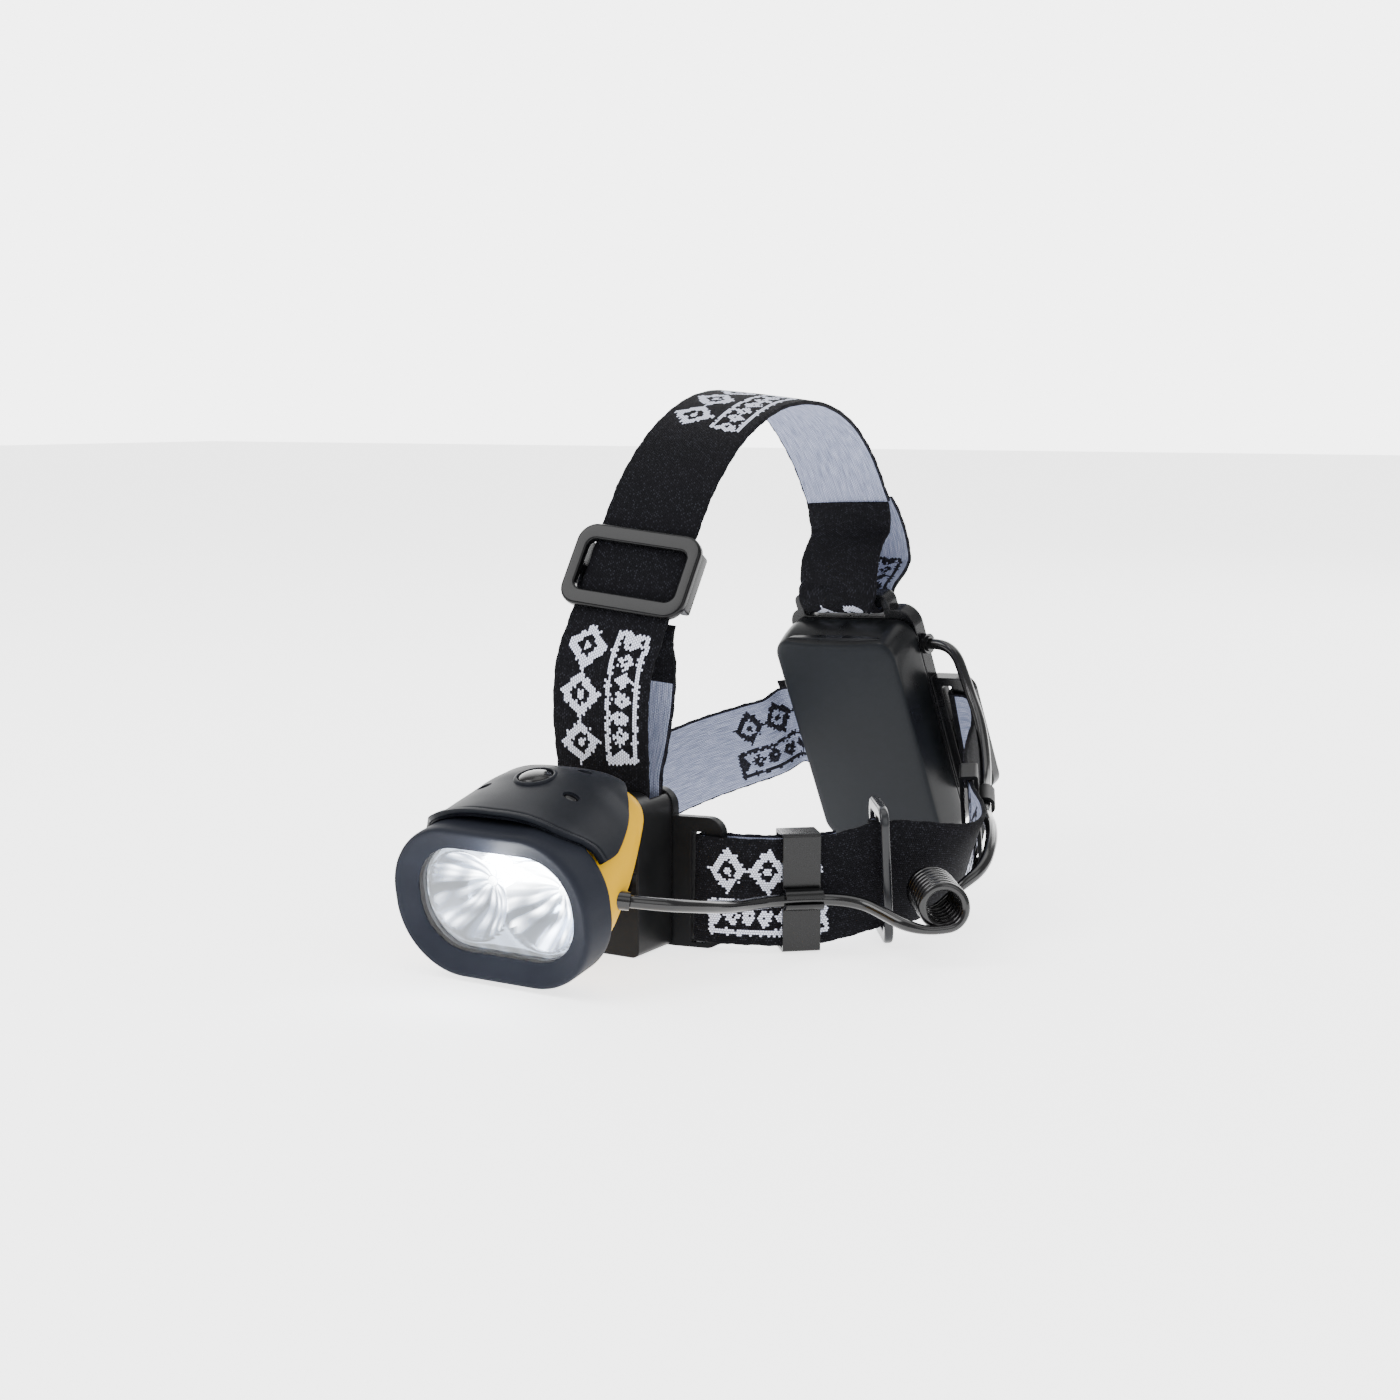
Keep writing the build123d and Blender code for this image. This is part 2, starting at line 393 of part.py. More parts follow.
cl += chan - Pos(0, 0.6, C1_CH) * Box(12, 5.4, 8)
put("cable_clip_front", c1p.location * cl)

C2_C = V(66.6, 90.1, 25.4)
C2_T = V(-4.6, 10.4, 3.0).normalized()
wv = V(.05, -.28, .95)
C2_W = (wv - C2_T * wv.dot(C2_T)).normalized()
c2p = Plane(origin=C2_C, x_dir=C2_T * -1, z_dir=C2_W)    # y_dir ?
cl2 = Pos(0, 0, 0) * Box(10.0, 5.6, 33.0)
cl2 = fillet(cl2.edges().filter_by(Axis.X), 0.8)
cl2 -= Box(12, 3.2, 30.8)
s2 = 1.0 if c2p.y_dir.dot(V(1, .3, 0)) > 0 else -1.0
cl2 -= Pos(0, -s2 * 2.4, -6) * Box(12, 3, 12)
ch2 = Pos(0, s2 * 4.6, 6.5) * Rot(0, 90, 0) * Cylinder(3.0, 10.0) - Pos(0, s2 * 4.6, 6.5) * Rot(0, 90, 0) * Cylinder(1.96, 14) - Pos(0, s2 * 7.4, 6.5) * Box(14, 3.0, 1.6)
cl2 += ch2 - Pos(0, 0, 6.5) * Box(12, 5.0, 8)
put("cable_clip_rear", c2p.location * cl2)
c2_out = c2p.y_dir * s2

# ---------------------------------------------------------------- battery pack (local x, y = depth, z = up)
def pbox(x0, x1, y0, y1, z0, z1):
    return Pos((x0 + x1) / 2, (y0 + y1) / 2, (z0 + z1) / 2) * Box(x1 - x0, y1 - y0, z1 - z0)


def pslab(x0, x1, z0, z1, r, y0, y1):
    sk = Plane.XZ.offset(-y0) * (Pos((x0 + x1) / 2, (z0 + z1) / 2) * rrect(x1 - x0, z1 - z0, r))
    return extrude(sk, -(y1 - y0))


W, Hh, D = PACK_W, PACK_H, PACK_D
cov = pslab(0, W, 0, Hh, 6.0, 0, D)
cov = fillet(cov.edges().filter_by_position(Axis.Y, -0.01, 0.01), 3.2)
cov -= pslab(1.5, W - 1.5, 1.6, Hh - 1.6, 4.6, 1.7, D + 1)
HZ = 2.6                                        # hinge height on the pack
HD = D + 1.6
for x0, x1 in ((6, 12), (W - 12, W - 6)):       # hinge tongues on the cover
    cov += pbox(x0, x1, D - 2, HD, 0.6, HZ + 2.2) - pbox(-1, W + 1, 0, D - 1.9, -1, 9) 
    cov += Pos((x0 + x1) / 2, HD, HZ) * Rot(0, 90, 0) * Cylinder(2.0, x1 - x0)
cov -= Pos(W / 2, HD, HZ) * Rot(0, 90, 0) * Cylinder(0.96, 80)
cov += pbox(W / 2 - 5, W / 2 + 5, D - 3.0, D + 1.2, Hh - 3.6, Hh - 1.9) + pbox(W / 2 - 5, W / 2 + 5, D - 3.0, D - 0.2, Hh - 3.6, Hh - 1.2)   # snap tongue
put("battery_cover", to_pack(cov))

back = pslab(0, W, 1.4, Hh + 3.2, 6.0, D + 0.12, D + 5)
back += pslab(W / 2 - 21, W / 2 + 17, Hh - 8, Hh + 8.4, 3.0, D + 0.12, D + 5)
back -= pslab(W / 2 - 18.3, W / 2 + 14.3, 79.4, 82.8, 0.8, D - 1, D + 7)
for x0, x1, z0, z1 in ((W - 4, W + 14.5, 16, 57), (-11.6, 4, 18, 57.4)):
    back += pslab(x0, x1, z0, z1, 5.0, D + 1.2, D + 5)
for x0, x1 in ((W + 3.4, W + 7.6), (-7.6, -3.4)):
    back -= pslab(x0, x1, 21.8, 54.2, 1.2, D - 1, D + 7)
# end walls that hold the cells, and grooves for them
for z0 in (6.4, 64.6):
    back += pslab(2.2, W - 2.2, z0, z0 + 1.6, 0.6, D - 6.5, D + 0.3)
back -= pbox(W / 2 - 5.4, W / 2 + 5.4, D - 1, D + 1.5, Hh - 4.0, Hh - 1.5)
for x0, x1 in ((5.8, 12.2), (W - 12.2, W - 5.8)):
    back -= pbox(x0, x1, D - 7, HD + 2.3, -1, HZ + 2.7)
back -= Pos(W / 2, HD, HZ) * Rot(0, 90, 0) * Cylinder(0.92, W - 6)
cell_r = CELL_D / 2
CX = [W / 2 - 14.3, W / 2, W / 2 + 14.3]
CD = 9.5
for cx in CX:
    back -= Pos(cx, CD, 36.3) * Cylinder(cell_r + 0.2, 56.0)
GX, GH = W - 3.4, Hh - 10.0
back -= Pos(GX, D + 2.6, GH) * Rot(0, 90, 0) * Cylinder(2.6, 12)
put("pack_frame", to_pack(back))
put("cover_hinge_pins", [to_pack(Pos(W / 2, HD, HZ) * Rot(0, 90, 0) * Cylinder(0.9, W - 7))])
cells = []
for i, cx in enumerate(CX):
    k = 1 if i != 1 else -1
    cells.append(Pos(cx, CD, 37.6) * Cylinder(cell_r, 49.4) + Pos(cx, CD, 37.6 + k * 25.1) * Cylinder(2.7, 1.2))
put("battery_cells", [to_pack(c) for c in cells])
plates, springs = [], []
for zz, sgn in ((8.25, 1), (64.3, -1)):
    for i, cx in enumerate(CX):
        plates.append(Pos(cx, CD, zz) * Box(11.4, 6.8, 0.4))
        spring_end = (i != 1) == (sgn == 1)
        if spring_end:
            levels = ((4.2, 0.65), (3.9, 1.6), (3.5, 2.55), (3.1, 3.5), (2.7, 4.15)) if sgn == 1 else ((4.2, 0.64), (3.4, 1.38))
            for rr, dz in levels:
                springs.append(Pos(cx, CD, zz + sgn * dz) * Torus(rr, 0.42))
put("contact_plates", [to_pack(c) for c in plates])
put("contact_springs", [to_pack(c) for c in springs])
put("pack_gland", to_pack(Pos(GX + 1.6, D + 2.6, GH) * Rot(0, 90, 0) * Cylinder(2.5, 9.0) + Pos(GX + 4.6, D + 2.6, GH) * Rot(0, 90, 0) * Cylinder(3.3, 1.6)))

# ---------------------------------------------------------------- cord
R0 = CORD_D / 2


def tube(points, d=CORD_D, label=""):
    n = len(points)
    vs = [V(*p) for p in points]
    radii = []
    for i in range(1, n - 1):
        a, b = vs[i] - vs[i - 1], vs[i + 1] - vs[i]
        ang = a.get_angle(b)
        radii.append(0.45 * min(a.length, b.length) / math.tan(math.radians(ang / 2)))
    print(label, "runs", [round((vs[i + 1] - vs[i]).length, 1) for i in range(n - 1)])
    print(label, "radii", [round(r, 1) for r in radii])
    path = FilletPolyline(*points, radius=radii)
    t0 = path % 0
    sec = Plane(origin=path @ 0, z_dir=t0) * Circle(d / 2)
    s = sweep(sec, path=path)
    print(label, "length", round(path.length, 1), "volume", round(s.volume, 1), "expected", round(math.pi * d * d / 4 * path.length, 1))
    return s, path


gd = to_lamp(EXIT_LOC * Pos(0, 0, 4.5) * Box(0.01, 0.01, 0.01)).center()
gd2 = to_lamp(EXIT_LOC * Pos(0, 0, 3.82 + 9.2) * Box(0.01, 0.01, 0.01)).center()
print("lamp exit", gd)
c1 = c1p.location
ch_a = (c1 * Pos(-6.0, -4.6, C1_CH) * Box(.01, .01, .01)).center()
ch_b = (c1 * Pos(6.0, -4.6, C1_CH) * Box(.01, .01, .01)).center()
print("clip 1 channel", ch_a, ch_b)
c2 = c2p.location
ch2_a = (c2 * Pos(6.0, s2 * 4.6, 6.5) * Box(.01, .01, .01)).center()
ch2_b = (c2 * Pos(-6.0, s2 * 4.6, 6.5) * Box(.01, .01, .01)).center()
print("clip 2 channel", ch2_a, ch2_b)
gp = to_pack(Pos(GX + 6.12, D + 2.6, GH) * Box(.01, .01, .01)).center()
print("pack gland exit", gp, "direction", PAX)

# routes: lamp gland -> front clip -> curly section; curly section -> rear clip -> pack gland
CF = V(91.8, 16.0, 16.3)                        # centre of the curly section's front turn
CA = V(-.575, .818, 0).normalized()             # its axis
CR = V(-CA.Y, CA.X, 0) * -1                     # sideways, to the right of the axis
CB = CF + CA * 22.0
RT = COIL_D / 2 - 1.5


CORD_FRONT = [t3(gd), t3(gd2), (41.6, -29.6, 20.0), (44.0, -18.6, 17.8), (44.8, -7.8, 16.4), t3(ch_a - (ch_b - ch_a) * 0.12), t3(ch_b + (ch_b - ch_a) * 0.12),
              (67.4, 15.0, 15.0), (75.0, 13.4, 13.2), (81.6, 11.6, 11.4), t3(CF + CR * -5.2 - V(0, 0, RT + 0.2)), t3(CF - V(0, 0, RT))]
a0 = CB + CR * 3.9 - V(0, 0, 4.1)
CORD_REAR = [t3(a0), t3(a0 + CR * 4.6 + V(0, 0, 4.0)), (89.6, 46.2, 21.6), (88.4, 54.6, 26.8), (84.2, 64.0, 29.8), (78.4, 74.0, 30.2), t3(ch2_a - (ch2_b - ch2_a) * 0.2), t3(ch2_b + (ch2_b - ch2_a) * 0.16),
             (65.0, 104.4, 38.2), (61.4, 111.0, 45.0), (57.2, 116.4, 52.6), (52.0, 121.0, 59.4), (48.4, 123.4, 65.6), t3(gp + PAX * 9.6 - V(0, 0, 3.0)), t3(gp + PAX * 4.6), t3(gp)]
for p in CORD_FRONT:
    print("F", [round(x + y, 2) for x, y in zip(p, SHIFT)])
for p in CORD_REAR:
    print("R", [round(x + y, 2) for x, y in zip(p, SHIFT)])
fs, fp = tube(CORD_FRONT, CORD_D, "cord_front")
rs, rp = tube(CORD_REAR, CORD_D, "cord_rear")
put("cord_front", fs)
put("cord_rear", rs)
coil = Plane(origin=CF - CA * 1.5, z_dir=CA).location * Pos(0, 0, COIL_L / 2) * Cylinder(COIL_D / 2, COIL_L)
put("cord_coil", coil)

box = None
for name, shape in NODES.items():
    moved = Pos(*SHIFT) * shape
    export_step(moved, f"parts/{name}.step")
    if not name.startswith("cord_"):
        bb = moved.bounding_box()
        lo = [bb.min.X, bb.min.Y, bb.min.Z]
        hi = [bb.max.X, bb.max.Y, bb.max.Z]
        box = (lo, hi) if box is None else ([min(a, b) for a, b in zip(box[0], lo)], [max(a, b) for a, b in zip(box[1], hi)])
print("low", sorted((round(x.bounding_box().min.Z, 2), k) for k, x in NODES.items())[:9])
print("nodes", len(NODES), "box", [[round(x, 2) for x in v] for v in box])
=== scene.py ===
import bpy, bmesh, math
from mathutils import Vector, Matrix


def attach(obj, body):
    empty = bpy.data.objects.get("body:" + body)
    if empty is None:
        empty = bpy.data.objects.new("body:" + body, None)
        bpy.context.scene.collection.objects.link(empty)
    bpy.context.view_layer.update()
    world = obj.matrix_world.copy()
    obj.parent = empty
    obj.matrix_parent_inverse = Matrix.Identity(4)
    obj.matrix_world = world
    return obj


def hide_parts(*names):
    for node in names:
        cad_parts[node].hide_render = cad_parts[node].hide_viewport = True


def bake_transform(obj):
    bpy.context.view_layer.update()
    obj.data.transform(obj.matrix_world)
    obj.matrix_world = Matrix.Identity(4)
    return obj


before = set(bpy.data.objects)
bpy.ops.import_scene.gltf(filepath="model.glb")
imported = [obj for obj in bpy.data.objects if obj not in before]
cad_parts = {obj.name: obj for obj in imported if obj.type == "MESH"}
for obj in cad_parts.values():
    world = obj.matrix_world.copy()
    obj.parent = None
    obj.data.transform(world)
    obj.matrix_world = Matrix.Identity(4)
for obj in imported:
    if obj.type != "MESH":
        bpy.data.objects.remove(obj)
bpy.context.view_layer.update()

# ------------------------------------------------------------------ shared frame
SH = Vector((-13.9, -46.0, 0.0))          # design millimetres to the row frame


def M(p):
    return (Vector(p[:3]) + SH) / 1000.0


LEAN = math.radians(10.4)
LO = Vector((0.0, -65.3, 21.25))
LB = Vector((0, math.cos(LEAN), math.sin(LEAN)))
LU = Vector((0, -math.sin(LEAN), math.cos(LEAN)))


def Lp(x, b, u):
    """Lamp-head point: x sideways, b behind the bezel's front plane, u up. Design millimetres."""
    return LO + Vector((x, 0, 0)) + LB * b + LU * u


def pack_axes():
    s, q, r = math.radians(8.3), math.radians(21.5), math.radians(3.3)
    ax = Vector((math.cos(s), -math.sin(s), 0))
    n = Vector((-math.sin(s), -math.cos(s), 0))
    up = n * math.sin(q) + Vector((0, 0, math.cos(q)))
    a2 = ax * math.cos(r) + up * math.sin(r)
    dep = -(n * math.cos(q) - Vector((0, 0, math.sin(q))))
    return a2, a2.cross(dep), dep


PAX, PUP, PDEP = pack_axes()
PO = Vector((-10.86, 145.4, 1.24))


def P(u, h, d):
    return PO + PAX * u + PUP * h + PDEP * d


# ------------------------------------------------------------------ camera
cam_data = bpy.data.cameras.new("camera")
cam_data.lens = 54.0
cam_data.sensor_width = 36.0
cam_data.clip_start = 0.01
cam_data.clip_end = 20
cam_data.dof.use_dof = False
cam = bpy.data.objects.new("camera", cam_data)
bpy.context.collection.objects.link(cam)
cam.location = M((318.62, -489.21, 150.0))
cam.rotation_euler = (math.radians(82.0), 0.0, math.radians(31.0))
bpy.context.scene.camera = cam


# ------------------------------------------------------------------ mesh helpers
def link(o):
    bpy.context.collection.objects.link(o)
    return o


def mesh_obj(name, verts, faces, mats=(), smooth=True, face_mats=None):
    me = bpy.data.meshes.new(name)
    me.from_pydata([tuple(v) for v in verts], [], faces)
    me.update()
    for m in mats:
        me.materials.append(m)
    if smooth:
        me.polygons.foreach_set("use_smooth", [True] * len(me.polygons))
    if face_mats:
        me.polygons.foreach_set("material_index", face_mats)
    o = bpy.data.objects.new(name, me)
    return link(o)


def recalc(o):
    bm = bmesh.new()
    bm.from_mesh(o.data)
    bmesh.ops.recalc_face_normals(bm, faces=bm.faces[:])
    bm.to_mesh(o.data)
    bm.free()
    return o


def sharp(o, deg=38):
    """Smooth shading that keeps true edges."""
    bm = bmesh.new()
    bm.from_mesh(o.data)
    lim = math.radians(deg)
    for e in bm.edges:
        e.smooth = not (len(e.link_faces) == 2 and e.calc_face_angle(0.0) > lim)
    bm.to_mesh(o.data)
    bm.free()
    return o


def apply_mods(o):
    dg = bpy.context.evaluated_depsgraph_get()
    me = bpy.data.meshes.new_from_object(o.evaluated_get(dg))
    old = o.data
    o.modifiers.clear()
    o.data = me
    bpy.data.meshes.remove(old)
    return o


def rings_mesh(name, rings, mats, closed=True, cap0=False, cap1=False, loop_rings=False, smooth=True):
    n = len(rings[0])
    verts = [v for r in rings for v in r]
    faces = []
    nr = len(rings)
    for i in range(nr if loop_rings else nr - 1):
        a, b = i * n, ((i + 1) % nr) * n
        for k in range(n if closed else n - 1):
            k2 = (k + 1) % n
            faces.append((a + k, a + k2, b + k2, b + k))
    for cap, i in ((cap0, 0), (cap1, nr - 1)):
        if cap:
            c = sum((Vector(v) for v in rings[i]), Vector()) / n
            verts.append(c)
            ci = len(verts) - 1
            for k in range(n):
                faces.append((i * n + k, i * n + (k + 1) % n, ci))
    o = mesh_obj(name, verts, faces, mats, smooth)
    return recalc(o)


def rr(w, h, r, cs=20, ss=10):
    """Rounded rectangle outline (x, z), the same count of points for any size."""
    r = max(0.02, min(r, w / 2 - 0.01, h / 2 - 0.01))
    pts = []
    corners = [(w / 2 - r, h / 2 - r, 0), (-(w / 2 - r), h / 2 - r, 90), (-(w / 2 - r), -(h / 2 - r), 180), (w / 2 - r, -(h / 2 - r), 270)]
    for j, (cx, cz, a0) in enumerate(corners):
        for k in range(cs):
            a = math.radians(a0 + 90.0 * k / (cs - 1))
            pts.append((cx + r * math.cos(a), cz + r * math.sin(a)))
        nx, nz, na = corners[(j + 1) % 4]
        a = math.radians(a0 + 90)
        p = (cx + r * math.cos(a), cz + r * math.sin(a))
        a = math.radians(na)
        q = (nx + r * math.cos(a), nz + r * math.sin(a))
        for k in range(1, ss):
            t = k / ss
            pts.append((p[0] + (q[0] - p[0]) * t, p[1] + (q[1] - p[1]) * t))
    return pts


def lerp_table(tab, x):
    """Monotone cubic through a table of (x, value)."""
    if x <= tab[0][0]:
        return tab[0][1]
    if x >= tab[-1][0]:
        return tab[-1][1]
    n = len(tab)
    i = 0
    while i < n - 2 and x > tab[i + 1][0]:
        i += 1
    h = [tab[k + 1][0] - tab[k][0] for k in range(n - 1)]
    d = [(tab[k + 1][1] - tab[k][1]) / h[k] for k in range(n - 1)]

    def slope(k):
        if k == 0:
            return d[0]
        if k == n - 1:
            return d[-1]
        if d[k - 1] * d[k] <= 0:
            return 0.0
        w1, w2 = 2 * h[k] + h[k - 1], h[k] + 2 * h[k - 1]
        return (w1 + w2) / (w1 / d[k - 1] + w2 / d[k])
    m0, m1 = slope(i), slope(i + 1)
    t = (x - tab[i][0]) / h[i]
    return ((2 * t ** 3 - 3 * t * t + 1) * tab[i][1] + (t ** 3 - 2 * t * t + t) * h[i] * m0
            + (-2 * t ** 3 + 3 * t * t) * tab[i + 1][1] + (t ** 3 - t * t) * h[i] * m1)


def lathe(name, profile, frame_fn, mats, n=48, cap0=True, cap1=True):
    """profile: (radius, height) list; frame_fn(x, y, h) gives the point."""
    rings = []
    for r, h in profile:
        rings.append([frame_fn(r * math.cos(2 * math.pi * k / n), r * math.sin(2 * math.pi * k / n), h) for k in range(n)])
    return rings_mesh(name, rings, mats, cap0=cap0, cap1=cap1)


def hashf(i, j=0, k=0):
    x = math.sin(i * 127.1 + j * 311.7 + k * 74.7) * 43758.5453
    return x - math.floor(x)


# ------------------------------------------------------------------ materials
def new_mat(name):
    m = bpy.data.materials.new(name)
    m.use_nodes = True
    nt = m.node_tree
    nt.nodes.clear()
    out = nt.nodes.new("ShaderNodeOutputMaterial")
    b = nt.nodes.new("ShaderNodeBsdfPrincipled")
    nt.links.new(b.outputs[0], out.inputs[0])
    return m, nt, b


def N(nt, kind, **kw):
    n = nt.nodes.new(kind)
    for k, v in kw.items():
        if k.startswith("in_"):
            n.inputs[k[3:].replace("_", " ")].default_value = v
        else:
            setattr(n, k, v)
    return n


def math_node(nt, op, a, b=None, c=None, clamp=False):
    n = nt.nodes.new("ShaderNodeMath")
    n.operation = op
    n.use_clamp = clamp
    for i, v in enumerate((a, b, c)):
        if v is None:
            continue
        if isinstance(v, (int, float)):
            n.inputs[i].default_value = v
        else:
            nt.links.new(v, n.inputs[i])
    return n.outputs[0]


def noise(nt, vec, scale, detail=2.0, rough=0.5):
    n = nt.nodes.new("ShaderNodeTexNoise")
    n.inputs["Scale"].default_value = scale
    n.inputs["Detail"].default_value = detail
    n.inputs["Roughness"].default_value = rough
    if vec is not None:
        nt.links.new(vec, n.inputs["Vector"])
    return n.outputs["Fac"]


def ramp(nt, fac, stops):
    r = nt.nodes.new("ShaderNodeValToRGB")
    el = r.color_ramp.elements
    while len(el) > len(stops):
        el.remove(el[-1])
    while len(el) < len(stops):
        el.new(0.5)
    for e, (p, c) in zip(el, stops):
        e.position = p
        e.color = (*c, 1.0) if len(c) == 3 else c
    nt.links.new(fac, r.inputs[0])
    return r.outputs[0]


def mixc(nt, fac, a, b):
    n = nt.nodes.new("ShaderNodeMix")
    n.data_type = "RGBA"
    for s, v in ((0, fac), (6, a), (7, b)):
        if isinstance(v, (int, float)):
            n.inputs[s].default_value = v
        elif isinstance(v, tuple):
            n.inputs[s].default_value = (*v, 1.0)
        else:
            nt.links.new(v, n.inputs[s])
    return n.outputs[2]


def plastic(name, color, rough=0.45, var=0.12, grain=2600.0, grain_h=0.03, bevel=0.0, coat=0.0, spec=0.5, wear=0.0, metallic=0.0, mottle=90.0):
    """Moulded plastic or rubber: fine grain, slow mottling in colour and gloss, softened edges."""
    m, nt, b = new_mat(name)
    tc = N(nt, "ShaderNodeTexCoord")
    ob = tc.outputs["Object"]
    big = noise(nt, ob, mottle, 3.0)
    fine = noise(nt, ob, grain, 2.0)
    dark = tuple(c * (1 - var) for c in color)
    lite = tuple(min(1.0, c * (1 + var) + 0.002) for c in color)
    col = ramp(nt, big, [(0.3, dark), (0.7, lite)])
    if wear > 0:
        geo = N(nt, "ShaderNodeNewGeometry")
        edge = math_node(nt, "MULTIPLY", math_node(nt, "SUBTRACT", geo.outputs["Pointiness"], 0.52), 9.0, clamp=True)
        col = mixc(nt, math_node(nt, "MULTIPLY", edge, wear), col, tuple(min(1, c * 2.2 + 0.05) for c in color))
    nt.links.new(col, b.inputs["Base Color"])
    rg = math_node(nt, "ADD", math_node(nt, "MULTIPLY", big, 0.16), rough - 0.08)
    rg = math_node(nt, "ADD", rg, math_node(nt, "MULTIPLY", math_node(nt, "SUBTRACT", fine, 0.5), 0.10), clamp=True)
    nt.links.new(rg, b.inputs["Roughness"])
    b.inputs["Metallic"].default_value = metallic
    b.inputs["Specular IOR Level"].default_value = spec
    b.inputs["Coat Weight"].default_value = coat
    b.inputs["Coat Roughness"].default_value = 0.15
    bp = N(nt, "ShaderNodeBump", in_Strength=1.0)
    bp.inputs["Distance"].default_value = grain_h * 0.001
    nt.links.new(fine, bp.inputs["Height"])
    if bevel > 0:
        bv = N(nt, "ShaderNodeBevel", samples=6)
        bv.inputs["Radius"].default_value = bevel
        nt.links.new(bv.outputs[0], bp.inputs["Normal"])
    nt.links.new(bp.outputs[0], b.inputs["Normal"])
    return m


def metal(name, color, rough=0.25, aniso=0.0, scratch=0.25):
    m, nt, b = new_mat(name)
    tc = N(nt, "ShaderNodeTexCoord")
    big = noise(nt, tc.outputs["Object"], 300.0, 4.0)
    st = N(nt, "ShaderNodeMapping")
    st.inputs["Scale"].default_value = (200.0, 5200.0, 5200.0)
    nt.links.new(tc.outputs["Object"], st.inputs["Vector"])
    fine = noise(nt, st.outputs[0], 1.0, 2.0)
    nt.links.new(ramp(nt, big, [(0.3, tuple(c * 0.85 for c in color)), (0.7, color)]), b.inputs["Base Color"])
    b.inputs["Metallic"].default_value = 1.0
    nt.links.new(math_node(nt, "ADD", math_node(nt, "MULTIPLY", fine, scratch), rough - scratch / 2, clamp=True), b.inputs["Roughness"])
    return m


def webbing(name, inner):
    """Double-faced elastic webbing. The weave map is in millimetres / 100: x along, y across."""
    m, nt, b = new_mat(name)
    uv = N(nt, "ShaderNodeUVMap", uv_map="weave")
    sep = N(nt, "ShaderNodeSeparateXYZ")
    nt.links.new(uv.outputs[0], sep.inputs[0])
    p0 = math_node(nt, "MULTIPLY", sep.outputs[0], 100.0)
    q0 = math_node(nt, "MULTIPLY", sep.outputs[1], 100.0)
    comb = N(nt, "ShaderNodeCombineXYZ")
    nt.links.new(p0, comb.inputs[0])
    nt.links.new(q0, comb.inputs[1])
    flat = comb.outputs[0]
    # stitches: cells one course long, every other rib half a course further on
    PX, QX = 0.80, 0.62
    rib = math_node(nt, "FLOOR", math_node(nt, "DIVIDE", q0, QX))
    odd = math_node(nt, "FLOORED_MODULO", rib, 2.0)
    pshift = math_node(nt, "ADD", math_node(nt, "DIVIDE", p0, PX), math_node(nt, "MULTIPLY", odd, 0.5))
    crs = math_node(nt, "FLOOR", pshift)
    cellv = N(nt, "ShaderNodeCombineXYZ")
    nt.links.new(crs, cellv.inputs[0])
    nt.links.new(rib, cellv.inputs[1])
    wn_ = N(nt, "ShaderNodeTexWhiteNoise", noise_dimensions="2D")
    nt.links.new(cellv.outputs[0], wn_.inputs["Vector"])
    rnd = wn_.outputs["Value"]
    sepc = N(nt, "ShaderNodeSeparateColor")
    nt.links.new(wn_.outputs["Color"], sepc.inputs[0])
    rnd2 = sepc.outputs[1]
    pc = math_node(nt, "MULTIPLY", math_node(nt, "SUBTRACT", crs, math_node(nt, "MULTIPLY", odd, 0.5)), PX)
    qc = math_node(nt, "MULTIPLY", math_node(nt, "ADD", rib, 0.5), QX)
    p = math_node(nt, "ADD", pc, math_node(nt, "MULTIPLY", math_node(nt, "SUBTRACT", rnd, 0.5), 1.05))
    q = math_node(nt, "ADD", qc, math_node(nt, "MULTIPLY", math_node(nt, "SUBTRACT", rnd2, 0.5), 0.75))
    per = math_node(nt, "FLOORED_MODULO", p, 103.5)
    # generic motif: open diamonds over a boxed row of small lozenges
    cell = math_node(nt, "SUBTRACT", math_node(nt, "FLOORED_MODULO", per, 12.2), 6.1)
    inzone = math_node(nt, "LESS_THAN", per, 36.6)
    dia = math_node(nt, "ADD", math_node(nt, "DIVIDE", math_node(nt, "ABSOLUTE", cell), 6.0),
                    math_node(nt, "DIVIDE", math_node(nt, "ABSOLUTE", math_node(nt, "SUBTRACT", q, 6.0)), 6.6))
    ring = math_node(nt, "MULTIPLY", math_node(nt, "LESS_THAN", dia, 1.0), math_node(nt, "GREATER_THAN", dia, 0.52))
    core = math_node(nt, "LESS_THAN", dia, 0.22)
    qa = math_node(nt, "ABSOLUTE", math_node(nt, "ADD", q, 6.9))
    pa = math_node(nt, "ABSOLUTE", math_node(nt, "SUBTRACT", per, 18.3))
    box_o = math_node(nt, "MULTIPLY", math_node(nt, "LESS_THAN", qa, 5.0), math_node(nt, "LESS_THAN", pa, 17.9))
    box_i = math_node(nt, "MULTIPLY", math_node(nt, "LESS_THAN", qa, 3.6), math_node(nt, "LESS_THAN", pa, 16.4))
    lz = math_node(nt, "SUBTRACT", math_node(nt, "FLOORED_MODULO", math_node(nt, "ADD", per, 0.2), 5.2), 2.6)
    lozenge = math_node(nt, "ADD", math_node(nt, "DIVIDE", math_node(nt, "ABSOLUTE", lz), 2.4), math_node(nt, "DIVIDE", qa, 3.0))
    blk = math_node(nt, "MULTIPLY", math_node(nt, "MULTIPLY", math_node(nt, "LESS_THAN", lozenge, 1.0), math_node(nt, "GREATER_THAN", lozenge, 0.22)), box_i)
    bar = math_node(nt, "ADD", math_node(nt, "SUBTRACT", box_o, box_i), blk, clamp=True)
    mask = math_node(nt, "MULTIPLY", math_node(nt, "ADD", math_node(nt, "ADD", ring, core), bar, clamp=True), inzone)
    edge = math_node(nt, "GREATER_THAN", math_node(nt, "ABSOLUTE", qc), 14.0)
